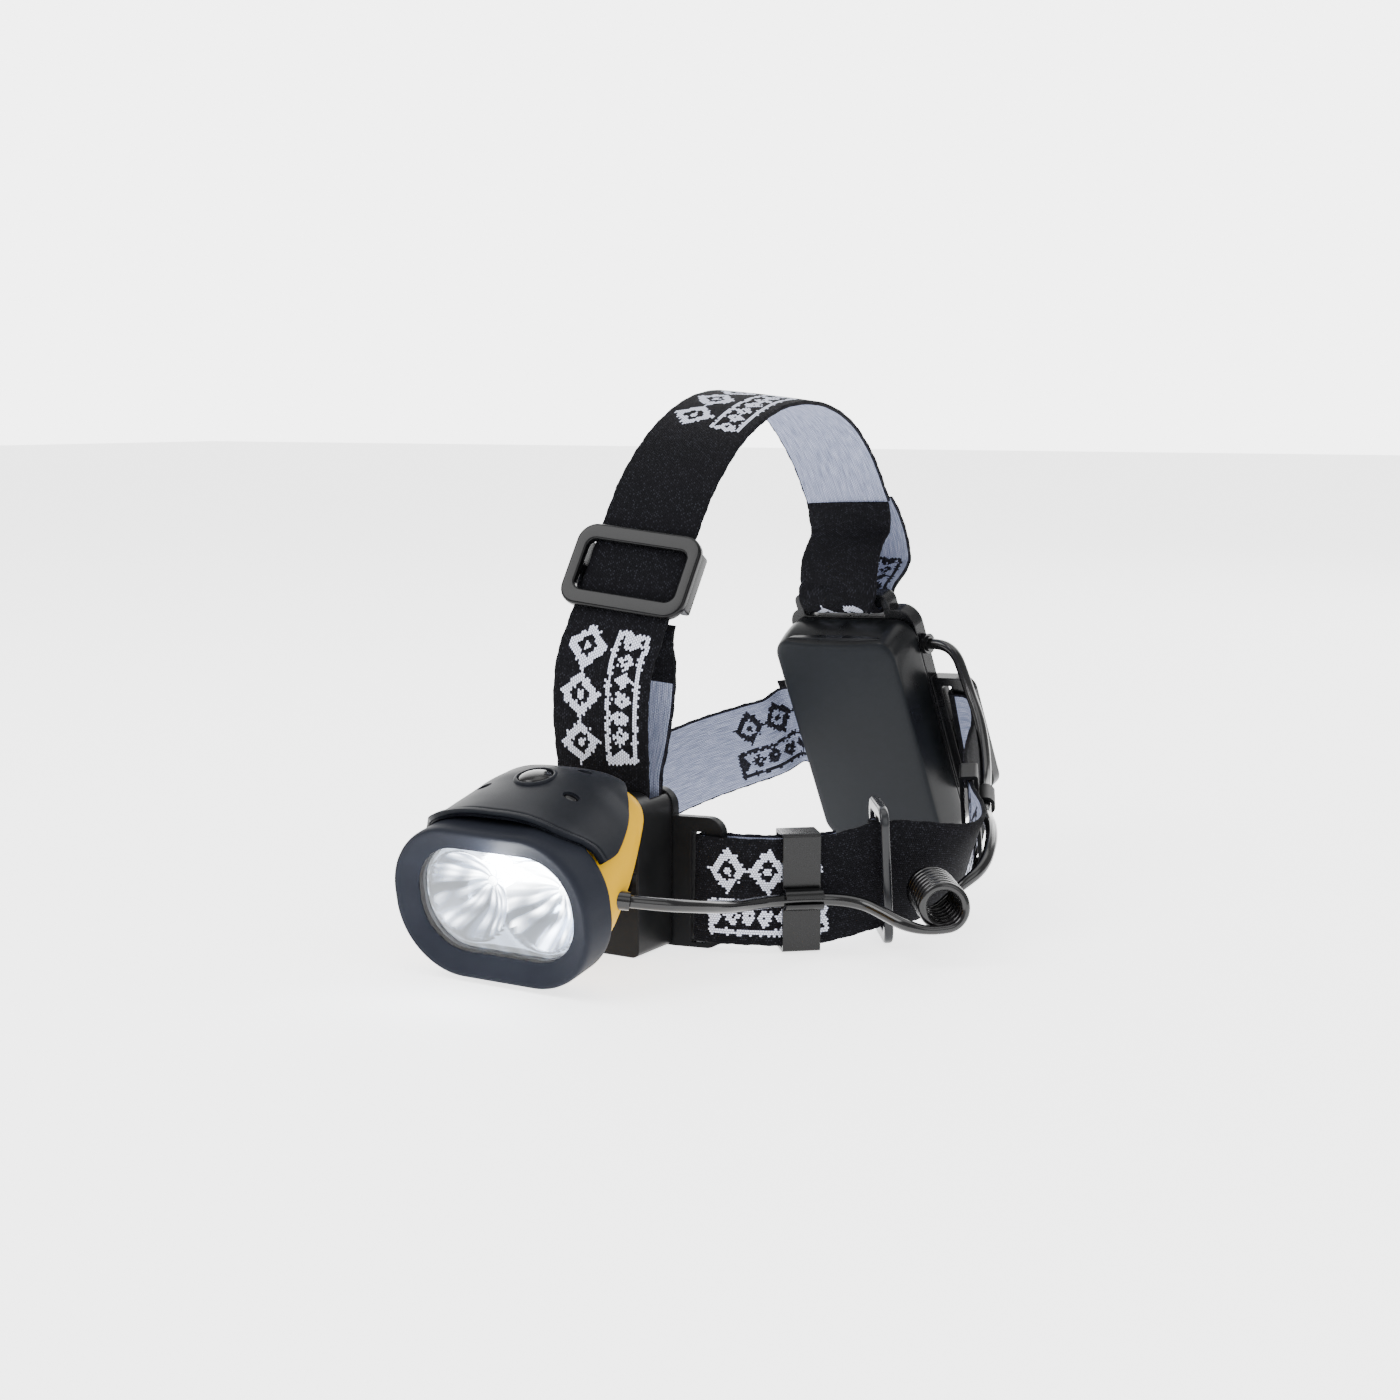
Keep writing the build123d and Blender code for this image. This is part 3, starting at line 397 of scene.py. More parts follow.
    # each stitch is a small hump; the colours below follow it too, as a painted highlight on its top and painted shade
    # at its edges
    fp = math_node(nt, "SUBTRACT", math_node(nt, "FRACT", pshift), 0.5)
    fq = math_node(nt, "SUBTRACT", math_node(nt, "FRACT", math_node(nt, "DIVIDE", q0, QX)), 0.5)
    hump = math_node(nt, "SUBTRACT", 1.0, math_node(nt, "MULTIPLY", math_node(nt, "ADD", math_node(nt, "MULTIPLY", fp, fp), math_node(nt, "MULTIPLY", fq, fq)), 3.4))
    speck = noise(nt, flat, 2.3, 3.0, 0.75)
    # random tone per stitch times a painted highlight on each stitch's top
    tone_and_painted_gleam = math_node(nt, "MULTIPLY", rnd, hump)
    wave = N(nt, "ShaderNodeMapping")
    wave.inputs["Scale"].default_value = (0.10, 1.35, 1.0)
    nt.links.new(flat, wave.inputs["Vector"])
    lines = noise(nt, wave.outputs[0], 1.6, 4.0, 0.65)
    if inner:
        # dark motif: random tone per stitch with a painted highlight on each stitch's top
        black = ramp(nt, tone_and_painted_gleam, [(0.25, (0.006, 0.006, 0.009)), (0.75, (0.022, 0.023, 0.032))])
        white = ramp(nt, lines, [(0.34, (0.145, 0.160, 0.225)), (0.47, (0.245, 0.270, 0.370)), (0.60, (0.36, 0.39, 0.52))])
        # painted shade in the hollows between stitches
        white = mixc(nt, math_node(nt, "MULTIPLY", math_node(nt, "LESS_THAN", hump, 0.42), 0.55), white, (0.085, 0.095, 0.16))
        white = mixc(nt, math_node(nt, "MULTIPLY", math_node(nt, "GREATER_THAN", rnd2, 0.86), 0.30), white, (0.20, 0.22, 0.33))
        on = math_node(nt, "MAXIMUM", mask, edge)
        col = mixc(nt, on, white, black)
    else:
        # black face: random tone per stitch with a painted highlight on each stitch's top
        black = ramp(nt, tone_and_painted_gleam, [(0.35, (0.0030, 0.0030, 0.0042)), (0.62, (0.0075, 0.0075, 0.010)), (0.86, (0.019, 0.020, 0.026))])
        # light motif: painted highlight on each stitch's top, painted shade at its edges
        white = ramp(nt, hump, [(0.15, (0.20, 0.21, 0.28)), (0.5, (0.60, 0.63, 0.76)), (0.8, (0.80, 0.83, 0.95))])
        on = math_node(nt, "MULTIPLY", mask, math_node(nt, "SUBTRACT", 1.0, edge))
        col = mixc(nt, on, black, white)
    nt.links.new(col, b.inputs["Base Color"])
    b.inputs["Roughness"].default_value = 0.9
    b.inputs["Specular IOR Level"].default_value = 0.10
    h = math_node(nt, "ADD", math_node(nt, "MULTIPLY", hump, 0.9), math_node(nt, "MULTIPLY", speck, 0.5))
    h = math_node(nt, "ADD", h, math_node(nt, "MULTIPLY", on, 0.9 if not inner else -0.4))
    bp = N(nt, "ShaderNodeBump", in_Strength=0.8)
    bp.inputs["Distance"].default_value = 0.00016
    nt.links.new(h, bp.inputs["Height"])
    nt.links.new(bp.outputs[0], b.inputs["Normal"])
    return m


MAT = {
    "bezel": plastic("bezel_rubber", (0.0120, 0.0138, 0.0200), rough=0.58, grain=4200, grain_h=0.018, spec=0.07, var=0.06),
    "cover": plastic("cover_soft_black", (0.0060, 0.0072, 0.0105), rough=0.46, grain=4200, grain_h=0.014, spec=0.08, var=0.08),
    "yellow": plastic("yellow_shell", (0.55, 0.305, 0.0), rough=0.40, grain=3000, grain_h=0.010, spec=0.08, var=0.035),
    "button": plastic("button_rubber", (0.0025, 0.0025, 0.003), rough=0.20, grain=3000, grain_h=0.006, coat=0.0, spec=0.28, var=0.1),
    "bracket": plastic("bracket_black", (0.0052, 0.0053, 0.0058), rough=0.36, grain=3600, grain_h=0.012, bevel=0.0007, var=0.08, spec=0.11),
    "plate": plastic("plate_black", (0.0046, 0.0050, 0.0058), rough=0.42, grain=3600, grain_h=0.014, bevel=0.0006, var=0.08, spec=0.07),
    "clip": plastic("clip_black", (0.0024, 0.0025, 0.0028), rough=0.26, grain=3000, grain_h=0.010, bevel=0.0004, var=0.1, spec=0.25),
    "slider": plastic("slider_black", (0.0022, 0.0023, 0.0027), rough=0.20, grain=3000, grain_h=0.008, var=0.15, spec=0.16),
    "clip_dark": plastic("clip_dark_black", (0.0034, 0.0036, 0.0042), rough=0.42, grain=3000, grain_h=0.010, bevel=0.0004, var=0.1, spec=0.05),
    "slider_side": plastic("slider_side_black", (0.0085, 0.0093, 0.0115), rough=0.24, grain=3000, grain_h=0.008, var=0.12, spec=0.30),
    "slate": plastic("pack_slate", (0.0060, 0.0074, 0.0095), rough=0.46, grain=3400, grain_h=0.020, var=0.06, mottle=30.0, spec=0.10),
    "pack_side": plastic("pack_side_black", (0.0042, 0.0046, 0.0054), rough=0.30, grain=3000, grain_h=0.008, var=0.1, spec=0.18),
    "frame": plastic("pack_frame_black", (0.0026, 0.0028, 0.0034), rough=0.26, grain=3000, grain_h=0.012, bevel=0.0006, var=0.1, spec=0.25),
    "seal": plastic("seal_black", (0.008, 0.008, 0.009), rough=0.6, grain=2000, grain_h=0.01),
    "cord": plastic("cord_sheath", (0.0020, 0.0020, 0.0024), rough=0.16, grain=2200, grain_h=0.003, spec=0.30, var=0.12, coat=0.25),
    "board": plastic("board_white", (0.62, 0.65, 0.62), rough=0.4, grain=1200, grain_h=0.01, bevel=0.0002),
    "nylon": plastic("washer_nylon", (0.55, 0.55, 0.52), rough=0.45, grain=1500, grain_h=0.01, bevel=0.0002),
    "pad": plastic("pad_foam", (0.014, 0.014, 0.016), rough=0.85, grain=1500, grain_h=0.12, spec=0.2, var=0.25),
    "cell": plastic("cell_jacket", (0.10, 0.22, 0.30), rough=0.30, grain=900, grain_h=0.01, coat=0.4, var=0.1, metallic=0.4, bevel=0.0004),
    "steel": metal("steel_bright", (0.72, 0.72, 0.74), 0.22),
    "brass": metal("contact_nickel", (0.70, 0.66, 0.56), 0.28),
    "web_out": webbing("webbing_outer", False),
    "web_in": webbing("webbing_inner", True),
}


def lens_mat():
    m, nt, b = new_mat("lens_clear")
    out = [n for n in nt.nodes if n.type == "OUTPUT_MATERIAL"][0]
    nt.nodes.remove(b)
    tr = nt.nodes.new("ShaderNodeBsdfTransparent")
    tr.inputs[0].default_value = (0.96, 0.98, 1.0, 1)
    gl = nt.nodes.new("ShaderNodeBsdfGlossy")
    tc = N(nt, "ShaderNodeTexCoord")
    n1 = noise(nt, tc.outputs["Object"], 700.0, 2.0)
    nt.links.new(math_node(nt, "ADD", math_node(nt, "MULTIPLY", n1, 0.04), 0.02), gl.inputs["Roughness"])
    fr = N(nt, "ShaderNodeFresnel")
    fr.inputs["IOR"].default_value = 1.35
    mx = nt.nodes.new("ShaderNodeMixShader")
    nt.links.new(fr.outputs[0], mx.inputs[0])
    nt.links.new(tr.outputs[0], mx.inputs[1])
    nt.links.new(gl.outputs[0], mx.inputs[2])
    nt.links.new(mx.outputs[0], out.inputs[0])
    return m


def painted_glow_mat(name, strength, tint=(0.93, 0.96, 1.0), chrome=0.5):
    """Reflector with painted light: metallised cups whose emitted glow follows the painted reflection streaks and
    painted shade stored on the mesh.
    """
    m, nt, b = new_mat(name)
    at = N(nt, "ShaderNodeVertexColor", layer_name="glow")
    tc = N(nt, "ShaderNodeTexCoord")
    n1 = noise(nt, tc.outputs["Object"], 900.0, 2.0)
    sp = N(nt, "ShaderNodeSeparateColor")
    nt.links.new(at.outputs["Color"], sp.inputs[0])
    s = math_node(nt, "MULTIPLY", sp.outputs[0], math_node(nt, "ADD", math_node(nt, "MULTIPLY", n1, 0.2), 0.9))
    b.inputs["Base Color"].default_value = (0.34, 0.37, 0.43, 1)
    b.inputs["Metallic"].default_value = 0.95
    b.inputs["Roughness"].default_value = 0.12
    nt.links.new(at.outputs["Color"], b.inputs["Emission Color"])
    nt.links.new(math_node(nt, "MULTIPLY", s, strength), b.inputs["Emission Strength"])
    return m


MAT["lens"] = lens_mat()
# the reflector glows with painted light: painted reflections, not a lamp
MAT["reflector"] = painted_glow_mat("reflector_painted_glow", 8.5)


def led_mat():
    m, nt, b = new_mat("led_emitting")
    tc = N(nt, "ShaderNodeTexCoord")
    n1 = noise(nt, tc.outputs["Object"], 1500.0, 1.0)
    b.inputs["Base Color"].default_value = (1, 0.98, 0.9, 1)
    b.inputs["Emission Color"].default_value = (0.95, 0.98, 1.0, 1)
    nt.links.new(math_node(nt, "ADD", n1, 5.0), b.inputs["Emission Strength"])
    return m


MAT["led"] = led_mat()

# ------------------------------------------------------------------ cord (one line from lamp to pack)
CF = Vector((91.8, 16.0, 16.3))
CA = Vector((-0.575, 0.818, 0)).normalized()
CR = Vector((CA.y, -CA.x, 0))
CB = CF + CA * 22.0
ZZ = Vector((0, 0, 1))
CORD_D = 3.5
WIRE_R = 1.24
RT = 5.75
GL_O = Lp(26.4, 19.8, -1.6)
GL_D = (Vector((0.84, 0, 0)) + LB * 0.50 + LU * -0.22).normalized()
front_pts = [GL_O + GL_D * 2.0, GL_O + GL_D * 11.5, Vector((41.6, -29.6, 20.0)), Vector((44.0, -18.6, 17.8)), Vector((44.8, -7.8, 16.4)),
             Vector((47.83, 2.27, 15.8)), Vector((59.14, 11.94, 15.8)), Vector((67.4, 15.0, 15.0)), Vector((75.0, 13.4, 13.2)), Vector((81.6, 11.6, 11.4)),
             CF + CR * -5.2 - ZZ * (RT + 0.35)]
NT = 14
TURNS = 7.12
helix = []
steps = int(TURNS * NT)
for k in range(1, steps + 1):
    a = 2 * math.pi * (k - 0.5) / NT
    rc = RT / math.cos(math.pi / NT) * (1.0 + 0.012 * math.sin(k * 0.9))
    helix.append(CF + CA * (22.0 * k / steps) + CR * (rc * math.sin(a)) - ZZ * (rc * math.cos(a)))
rear_pts = [CB + CR * 8.2 + ZZ * 0.6, Vector((90.2, 45.0, 21.6)), Vector((88.6, 54.2, 26.8)), Vector((84.4, 63.8, 29.8)), Vector((78.6, 73.8, 30.2)),
            Vector((74.38, 82.76, 29.83)), Vector((68.0, 97.19, 33.99)), Vector((65.0, 104.4, 38.2)), Vector((61.4, 111.0, 45.0)), Vector((57.2, 116.4, 52.6)),
            Vector((52.0, 121.0, 59.4)), Vector((48.4, 123.4, 65.6)), P(0, 0, 0)]
GX, GH, PD = 46.6, 68.8, 13.0
gp = P(GX + 6.12, GH, PD + 2.6)
rear_pts[-1] = gp + PAX * 9.6 - ZZ * 3.0
rear_pts += [gp + PAX * 4.6, gp - PAX * 0.6]


def nurbs_line(name, pts_mm, res=8):
    cu = bpy.data.curves.new(name, "CURVE")
    cu.dimensions = "3D"
    cu.resolution_u = res
    sp = cu.splines.new("NURBS")
    sp.points.add(len(pts_mm) - 1)
    for q, v in zip(sp.points, pts_mm):
        w = M(v)
        q.co = (w.x, w.y, w.z, 1.0)
    sp.order_u = 3
    sp.use_endpoint_u = True
    o = link(bpy.data.objects.new(name, cu))
    bpy.context.view_layer.update()
    dg = bpy.context.evaluated_depsgraph_get()
    me = bpy.data.meshes.new_from_object(o.evaluated_get(dg))
    line = [v.co.copy() for v in me.vertices]
    bpy.data.meshes.remove(me)
    bpy.data.objects.remove(o)
    bpy.data.curves.remove(cu)
    return line


line = nurbs_line("cord_line", front_pts + helix + rear_pts, 6)
seg = [0.0]
for a, b in zip(line[:-1], line[1:]):
    seg.append(seg[-1] + (b - a).length)
# thin the line to even rings
path, at = [line[0]], [0.0]
for v, s in zip(line[1:], seg[1:]):
    if s - at[-1] > 0.0006:
        path.append(v)
        at.append(s)
CFm = M(CF)


def wire_radius(v):
    d = (v - CFm)
    along = d.dot(CA) * 1000
    rad = (d - CA * d.dot(CA)).length * 1000
    if -3.0 < along < 24.5 and rad < 9.5:
        return WIRE_R
    return CORD_D / 2


rad = [wire_radius(v) for v in path]
for _ in range(8):
    rad = [rad[0]] + [(a + b + c) / 3 for a, b, c in zip(rad[:-2], rad[1:-1], rad[2:])] + [rad[-1]]


def tube_mesh(name, path, radii, mats, n=16):
    rings = []
    t0 = (path[1] - path[0]).normalized()
    ref = t0.orthogonal().normalized()
    for i, v in enumerate(path):
        t = (path[min(i + 1, len(path) - 1)] - path[max(i - 1, 0)]).normalized()
        ref = (ref - t * ref.dot(t)).normalized()
        bi = t.cross(ref)
        r = radii[i] / 1000
        rings.append([v + ref * (r * math.cos(2 * math.pi * k / n)) + bi * (r * math.sin(2 * math.pi * k / n)) for k in range(n)])
    return rings_mesh(name, rings, mats, cap0=True, cap1=True)


cord = tube_mesh("cord", path, rad, [MAT["cord"]])
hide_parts("cord_front", "cord_rear", "cord_coil")
tuple(M(GL_O + GL_D * 3.8))
[tuple(v) for v in path]
tuple(M(GL_O + GL_D * 4.0))
tuple(M((44.4, -12.0, 16.8)))
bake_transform(cord)


# ------------------------------------------------------------------ straps
STRAP_W, STRAP_T = 30.0, 1.3
BAR_Y, BAR_Z = -6.3, 39.6
TOP = [(-0.75, -9.7, 40.6, 1, 0, .0), (-0.95, -9.8, 50, 1, .02, .0), (-1.4, -10.3, 65, 1, .08, -.03), (-0.6, -9.6, 78.5, 1, .10, -.06),
       (0.65, -5.6, 88.4, 1, .10, -.09), (1.5, 2.9, 103.1, 1, .08, -.10), (2.35, 11.4, 117.8, 1, .08, -.11), (2.6, 21, 130, 1, .08, -.12),
       (2.8, 37, 142.5, 1, .08, -.12), (3.1, 58, 150.8, 1, .08, -.12), (3.5, 80, 151.8, 1, .06, -.10), (3.9, 100, 145.7, 1, .04, -.03),
       (4.3, 116, 133.5, 1, 0, .06), (4.8, 127.5, 118.5, 1, -.04, .14)]
TAIL = [(-0.7, BAR_Y - 3.4, BAR_Z - .4, 1, 0, 0), (-0.7, BAR_Y - 2.4, BAR_Z - 2.6, 1, 0, 0), (-0.7, BAR_Y, BAR_Z - 3.5, 1, 0, 0),
        (-0.7, BAR_Y + 2.4, BAR_Z - 2.6, 1, 0, 0), (-0.7, BAR_Y + 3.4, BAR_Z - .2, 1, 0, 0), (-0.9, -2.8, 47.6, 1, .02, .0), (-1.2, 0.2, 55.0, 1, .04, -.01), (-1.4, 2.6, 64.0, 1, .08, -.03),
        (-0.8, 3.0, 73.0, 1, .10, -.05), (0.0, 1.8, 80.5, 1, .10, -.06), (0.7, -0.6, 86.6, 1, .10, -.09), (1.0, 0.5, 91.0, 1, .1, -.09)]
LX = tuple(PAX)
UP = (0, 0, 1)
WUP = (-.05, -.36, .93)


def mixv(t):
    return tuple(a * (1 - t) + b * t for a, b in zip(UP, WUP))


def PS(u, h, d, w):
    return tuple(P(u, h, d)) + tuple(w)


LOOP = [(4.85, 126.6, 118.4, 1, -.04, .14), (4.9, 127.6, 115.2, 1, -.04, .14), (4.7, 128.6, 108.5, 1, -.05, .12), (4.5, 123.6, 102.2, 1, -.08, .1), (4.5, 121.3, 95.5, 1, -.1, .1),
        (4.9, 121.2, 90.6, *LX), PS(23.1, 87.2, 11.0, LX), PS(23.1, 83.4, 11.4, LX), PS(23.1, 81.4, 13.2, LX),
        PS(23.1, 80.9, 17.3, LX), PS(23.1, 81.8, 20.5, LX), PS(23.1, 85.0, 24.0, LX),
        (5.2, 143.8, 96.5, 1, -.08, .1), (5.0, 142.6, 104, 1, -.07, .12), (4.9, 136.8, 112.2, 1, -.05, .14), (4.85, 131.0, 117.6, 1, -.04, .14), (4.82, 129.1, 119.0, 1, -.04, .14)]
LEFT = [(23.8, -0.9, 17.3, *UP), (27.5, -1.2, 17.2, *UP), (32.5, 0.0, 17.1, *UP), (38.5, 2.6, 17.0, *UP), (45, 6.4, 16.8, *UP), (50.5, 10.6, 16.8, *UP), (56, 15.8, 17.4, *UP),
        (61.4, 22.4, 18.8, *UP), (66.6, 30.0, 20.3, *UP), (71.6, 37.6, 19.7, .10, -.05, .99), (75.2, 45.2, 19.0, .27, -.10, .95), (77.4, 53.4, 18.8, .38, -.12, .91), (77.4, 62.0, 19.4, .38, -.12, .91),
        (74.9, 71.2, 20.8, .28, -.14, .94), (70.8, 80.6, 22.7, .15, -.20, .95), (66.2, 91.0, 25.7, .05, -.28, .95), (61.6, 103.0, 29.8, *WUP), (57.8, 114.5, 34.2, *WUP), (54.6, 124.6, 38.0, *WUP),
        PS(63.0, 36.6, 12.4, WUP), PS(56.8, 37.3, 12.9, WUP),
        PS(55.2, 37.5, 14.4, WUP), PS(55.0, 37.6, 17.4, WUP), PS(56.3, 37.6, 19.4, WUP), PS(58.6, 37.4, 19.8, WUP), PS(61.0, 37.2, 19.7, WUP)]
LTAIL = [(23.75, -0.15, 17.3, *UP), (23.7, 2.8, 17.3, *UP), (24.6, 5.0, 17.3, *UP), (27.0, 5.6, 17.3, *UP), (32.0, 6.2, 17.2, *UP), (38.6, 8.2, 17.2, *UP), (44.2, 11.6, 17.1, *UP),
         (49.6, 15.7, 17.1, *UP), (53.9, 20.0, 17.5, *UP), (56.7, 23.5, 18.1, *UP)]
RIGHT = [(-23.8, -0.9, 17.3, *UP), (-27.5, -1.2, 17.3, *UP), (-32.5, 0.2, 17.3, *UP), (-38.5, 4.6, 17.3, *UP), (-44.5, 13.0, 17.4, *UP), (-49.5, 27.0, 17.6, *UP), (-53.4, 45.0, 18.2, *UP),
         (-55.4, 64.0, 19.6, *mixv(.1)), (-55.2, 84.0, 22.0, *mixv(.25)), (-52.0, 104.0, 25.6, *mixv(.45)), (-45.6, 121.0, 29.8, *mixv(.65)), (-36.6, 134.0, 33.6, *mixv(.85)),
         (-30.4, 140.4, 36.0, *WUP), PS(-12.4, 37.2, 12.4, WUP), PS(-6.8, 37.4, 12.9, WUP),
         PS(-5.2, 37.5, 14.4, WUP), PS(-5.0, 37.6, 17.4, WUP), PS(-6.3, 37.6, 19.4, WUP), PS(-9.0, 37.4, 19.8, WUP), PS(-13.0, 37.0, 19.5, WUP), PS(-17.0, 36.6, 18.6, WUP)]
RTAIL = [(-23.75, -0.15, 17.3, *UP), (-23.7, 2.8, 17.3, *UP), (-24.6, 5.0, 17.3, *UP), (-27.0, 5.6, 17.3, *UP), (-32.0, 5.9, 17.3, *UP), (-38.0, 8.6, 17.3, *UP)]


def catmull(p, step=1.3):
    out = []
    m = len(p)
    for i in range(m - 1):
        p0 = p[i - 1] if i > 0 else [2 * a - b for a, b in zip(p[0], p[1])]
        p1, p2 = p[i], p[i + 1]
        p3 = p[i + 2] if i + 2 < m else [2 * a - b for a, b in zip(p[-1], p[-2])]
        n = max(2, int(math.dist(p1[:3], p2[:3]) / step + 0.5))
        for k in range(n):
            t = k / n
            out.append([0.5 * (2 * b + (c - a) * t + (2 * a - 5 * b + 4 * c - d) * t * t + (3 * b - a - 3 * c + d) * t ** 3)
                        for a, b, c, d in zip(p0, p1, p2, p3)])
    out.append(list(p[-1]))
    return out


def ribbon(name, stations, outer, du=0.0, ku=1.0, flip=False, width=STRAP_W, thick=STRAP_T, step=1.2, bow=0.0, wave=0.10, across=22, trim=0.0, dark=()):
    """A woven band through stations. outer = +1 or -1: the side of t x w that is the dark face.
    The weave map carries the distance along and across in millimetres / 100."""
    q = catmull(stations, step)
    e = thick / 2
    h = width / 2 - e
    verts, uvs, rows = [], [], []
    u = 0.0
    L = [0.0]
    for a, b in zip(q[:-1], q[1:]):
        L.append(L[-1] + math.dist(a[:3], b[:3]))
    total = L[-1]
    prof = []
    for k in range(across + 1):
        prof.append((-h + 2 * h * k / across, 1, 1.0))
    for k in range(1, 6):
        a = math.pi * k / 6
        prof.append((h + e * math.sin(a), math.cos(a), 0))
    for k in range(across + 1):
        prof.append((h - 2 * h * k / across, -1, -1.0))
    for k in range(1, 6):
        a = math.pi * k / 6
        prof.append((-h - e * math.sin(a), -math.cos(a), 0))
    n = len(prof)
    for i, s in enumerate(q):
        a, b = q[max(i - 1, 0)], q[min(i + 1, len(q) - 1)]
        t = (Vector(b[:3]) - Vector(a[:3])).normalized()
        w = Vector(s[3:6])
        w = (w - t * w.dot(t)).normalized()
        m = t.cross(w).normalized()
        c = Vector(s[:3])
        uu = (L[i] - du) * ku
        ripple = wave * (math.sin(L[i] * 0.55 + 1.3 * du) * 0.5 + math.sin(L[i] * 0.23 + du) * 0.5)
        # slack selvedges: the edges wander a little across and out of the surface
        wl = 0.10 * math.sin(L[i] * 0.9 + du) + 0.07 * math.sin(L[i] * 2.3)
        endf = 1.0
        if trim:
            d_end = min(L[i], total - L[i])
            endf = min(1.0, 0.55 + 0.45 * d_end / trim)
        for (x, y, f) in prof:
            xx = x + (wl * abs(x) / h if h else 0)
            k = (x / h) ** 2
            off = bow * (1 - k) + ripple * k * 0.6 * (1 if x > 0 else -0.7)
            verts.append(M(c + w * xx + m * (y * e * endf + off)))
            uvs.append((uu / 100.0, (-xx if flip else xx) / 100.0))
    faces, mi = [], []
    nr = len(q)
    for i in range(nr - 1):
        for k in range(n):
            k2 = (k + 1) % n
            faces.append((i * n + k, i * n + k2, (i + 1) * n + k2, (i + 1) * n + k))
            y = (prof[k][1] + prof[k2][1]) / 2
            side = 1 if y > 0.3 else (-1 if y < -0.3 else 0)
            s_mid = (L[i] + L[i + 1]) / 2
            # spans listed in dark show the black face over the light inner face: painted shade
            painted_shade_span = any(a <= s_mid <= b for a, b in dark)
            mi.append(0 if side == outer or side == 0 or painted_shade_span else 1)
    for i, rev in ((0, False), (nr - 1, True)):
        ids = [i * n + k for k in range(n)]
        half = across + 1
        top = ids[:half]
        bot = ids[half + 5:half + 5 + half][::-1]
        for k in range(half - 1):
            faces.append((top[k], top[k + 1], bot[k + 1], bot[k]))
            mi.append(0)
        s1 = ids[half:half + 5]
        c1 = [top[-1]] + s1 + [bot[-1]]
        faces.append(tuple(c1))
        mi.append(0)
        s2 = ids[half + 5 + half:]
        c2 = [bot[0]] + s2 + [top[0]]
        faces.append(tuple(c2))
        mi.append(0)
    me = bpy.data.meshes.new(name)
    me.from_pydata([tuple(v) for v in verts], [], faces)
    me.update()
    me.materials.append(MAT["web_out"])
    me.materials.append(MAT["web_in"])
    me.polygons.foreach_set("use_smooth", [True] * len(me.polygons))
    me.polygons.foreach_set("material_index", mi)
    uvl = me.uv_layers.new(name="weave")
    for lp in me.loops:
        uvl.data[lp.index].uv = uvs[lp.vertex_index]
    o = link(bpy.data.objects.new(name, me))
    recalc(o)
    sharp(o, 50)
    return o, total


LENGTHS = {}
top_o, LENGTHS["top"] = ribbon("top_strap", TOP, -1, du=10.0, ku=0.95, flip=True, bow=-0.25)
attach(top_o, "headband")
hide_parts("top_strap_front", "top_strap_slide", "top_strap_crown_front", "top_strap_crown", "top_strap_crown_rear")
# dark spans: painted shade, the black face shown over the tail's light inner face
tail_o, LENGTHS["top_tail"] = ribbon("top_tail", TAIL, 1, du=-39.0, ku=0.95, flip=True, trim=1.0, dark=((46.0, 99.0), (0.0, 5.0)))
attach(tail_o, "headband")
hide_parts("top_strap_tail")
loop_o, LENGTHS["loop"] = ribbon("rear_loop", LOOP, 1, du=36.0, ku=1.15, flip=True, trim=1.2, step=1.0)
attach(loop_o, "headband")
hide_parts("top_strap_loop_front", "top_strap_loop_rear")
# dark span: painted shade, the black face shown over the strap's light inner face
left_o, LENGTHS["left"] = ribbon("left_strap", LEFT, 1, du=4.0, ku=1.12, trim=1.2, dark=((176.5, 260.0),))
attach(left_o, "headband")
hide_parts("left_strap_front", "left_strap_slide", "left_strap_side", "left_strap_rear", "left_strap_wrap")
ltail_o, LENGTHS["left_tail"] = ribbon("left_tail", LTAIL, -1, du=-40.0, trim=1.2, step=1.0)
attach(ltail_o, "headband")
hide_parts("left_strap_tail")
right_o, LENGTHS["right"] = ribbon("right_strap", RIGHT, -1, du=150.0, ku=1.0, trim=1.2)
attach(right_o, "headband")
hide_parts("right_strap_front", "right_strap_side", "right_strap_rear", "right_strap_wrap")
rtail_o, LENGTHS["right_tail"] = ribbon("right_tail", RTAIL, 1, du=-40.0, trim=1.2, step=1.0)
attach(rtail_o, "headband")
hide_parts("right_strap_tail")


# stitching: short thread stitches sewn across a band end
def stitches(name, centre, across_dir, normal, width, n, mat, size=(1.5, 0.34), zig=0.0, along=Vector((0, 0, 0))):
    c = Vector(centre)
    w = Vector(across_dir).normalized()
    m = Vector(normal).normalized()
    t = w.cross(m).normalized()
    verts, faces = [], []
    for k in range(n):
        x = (k + 0.5) / n * width - width / 2
        z = zig * (1 if k % 2 else -1)
        a = c + w * (x - size[0] / 2) + t * z
        b = c + w * (x + size[0] / 2) + t * (-z)
        base = len(verts)
        ns = 6
        for p, lift in ((a, 0.0), (a * 0.75 + b * 0.25, 0.16), ((a + b) / 2, 0.22), (a * 0.25 + b * 0.75, 0.16), (b, 0.0)):
            for j in range(ns):
                an = 2 * math.pi * j / ns
                verts.append(M(p + m * (lift + size[1] / 2 * math.sin(an)) + t * (size[1] / 2 * math.cos(an))))
        for r in range(4):
            for j in range(ns):
                j2 = (j + 1) % ns
                faces.append((base + r * ns + j, base + r * ns + j2, base + (r + 1) * ns + j2, base + (r + 1) * ns + j))
        faces.append(tuple(base + j for j in range(ns)))
        faces.append(tuple(base + 4 * ns + j for j in range(ns)))
    o = mesh_obj(name, verts, faces, [mat])
    recalc(o)
    return o


MAT["thread"] = plastic("stitch_thread", (0.030, 0.030, 0.034), rough=0.8, grain=5000, grain_h=0.05, spec=0.25, var=0.3)
MAT["thread_white"] = plastic("stitch_thread_light", (0.55, 0.56, 0.62), rough=0.8, grain=5000, grain_h=0.05, spec=0.25, var=0.2)


# ------------------------------------------------------------------ lamp head
def lamp_rings(table, cx=0.0, cu=0.0):
    """Rounded-rectangle rings (w, h, r, b) in the lamp's frame."""
    out = []
    for w, h, r, b in table:
        out.append([M(Lp(cx + x, b, cu + z)) for x, z in rr(w, h, r)])
    return out


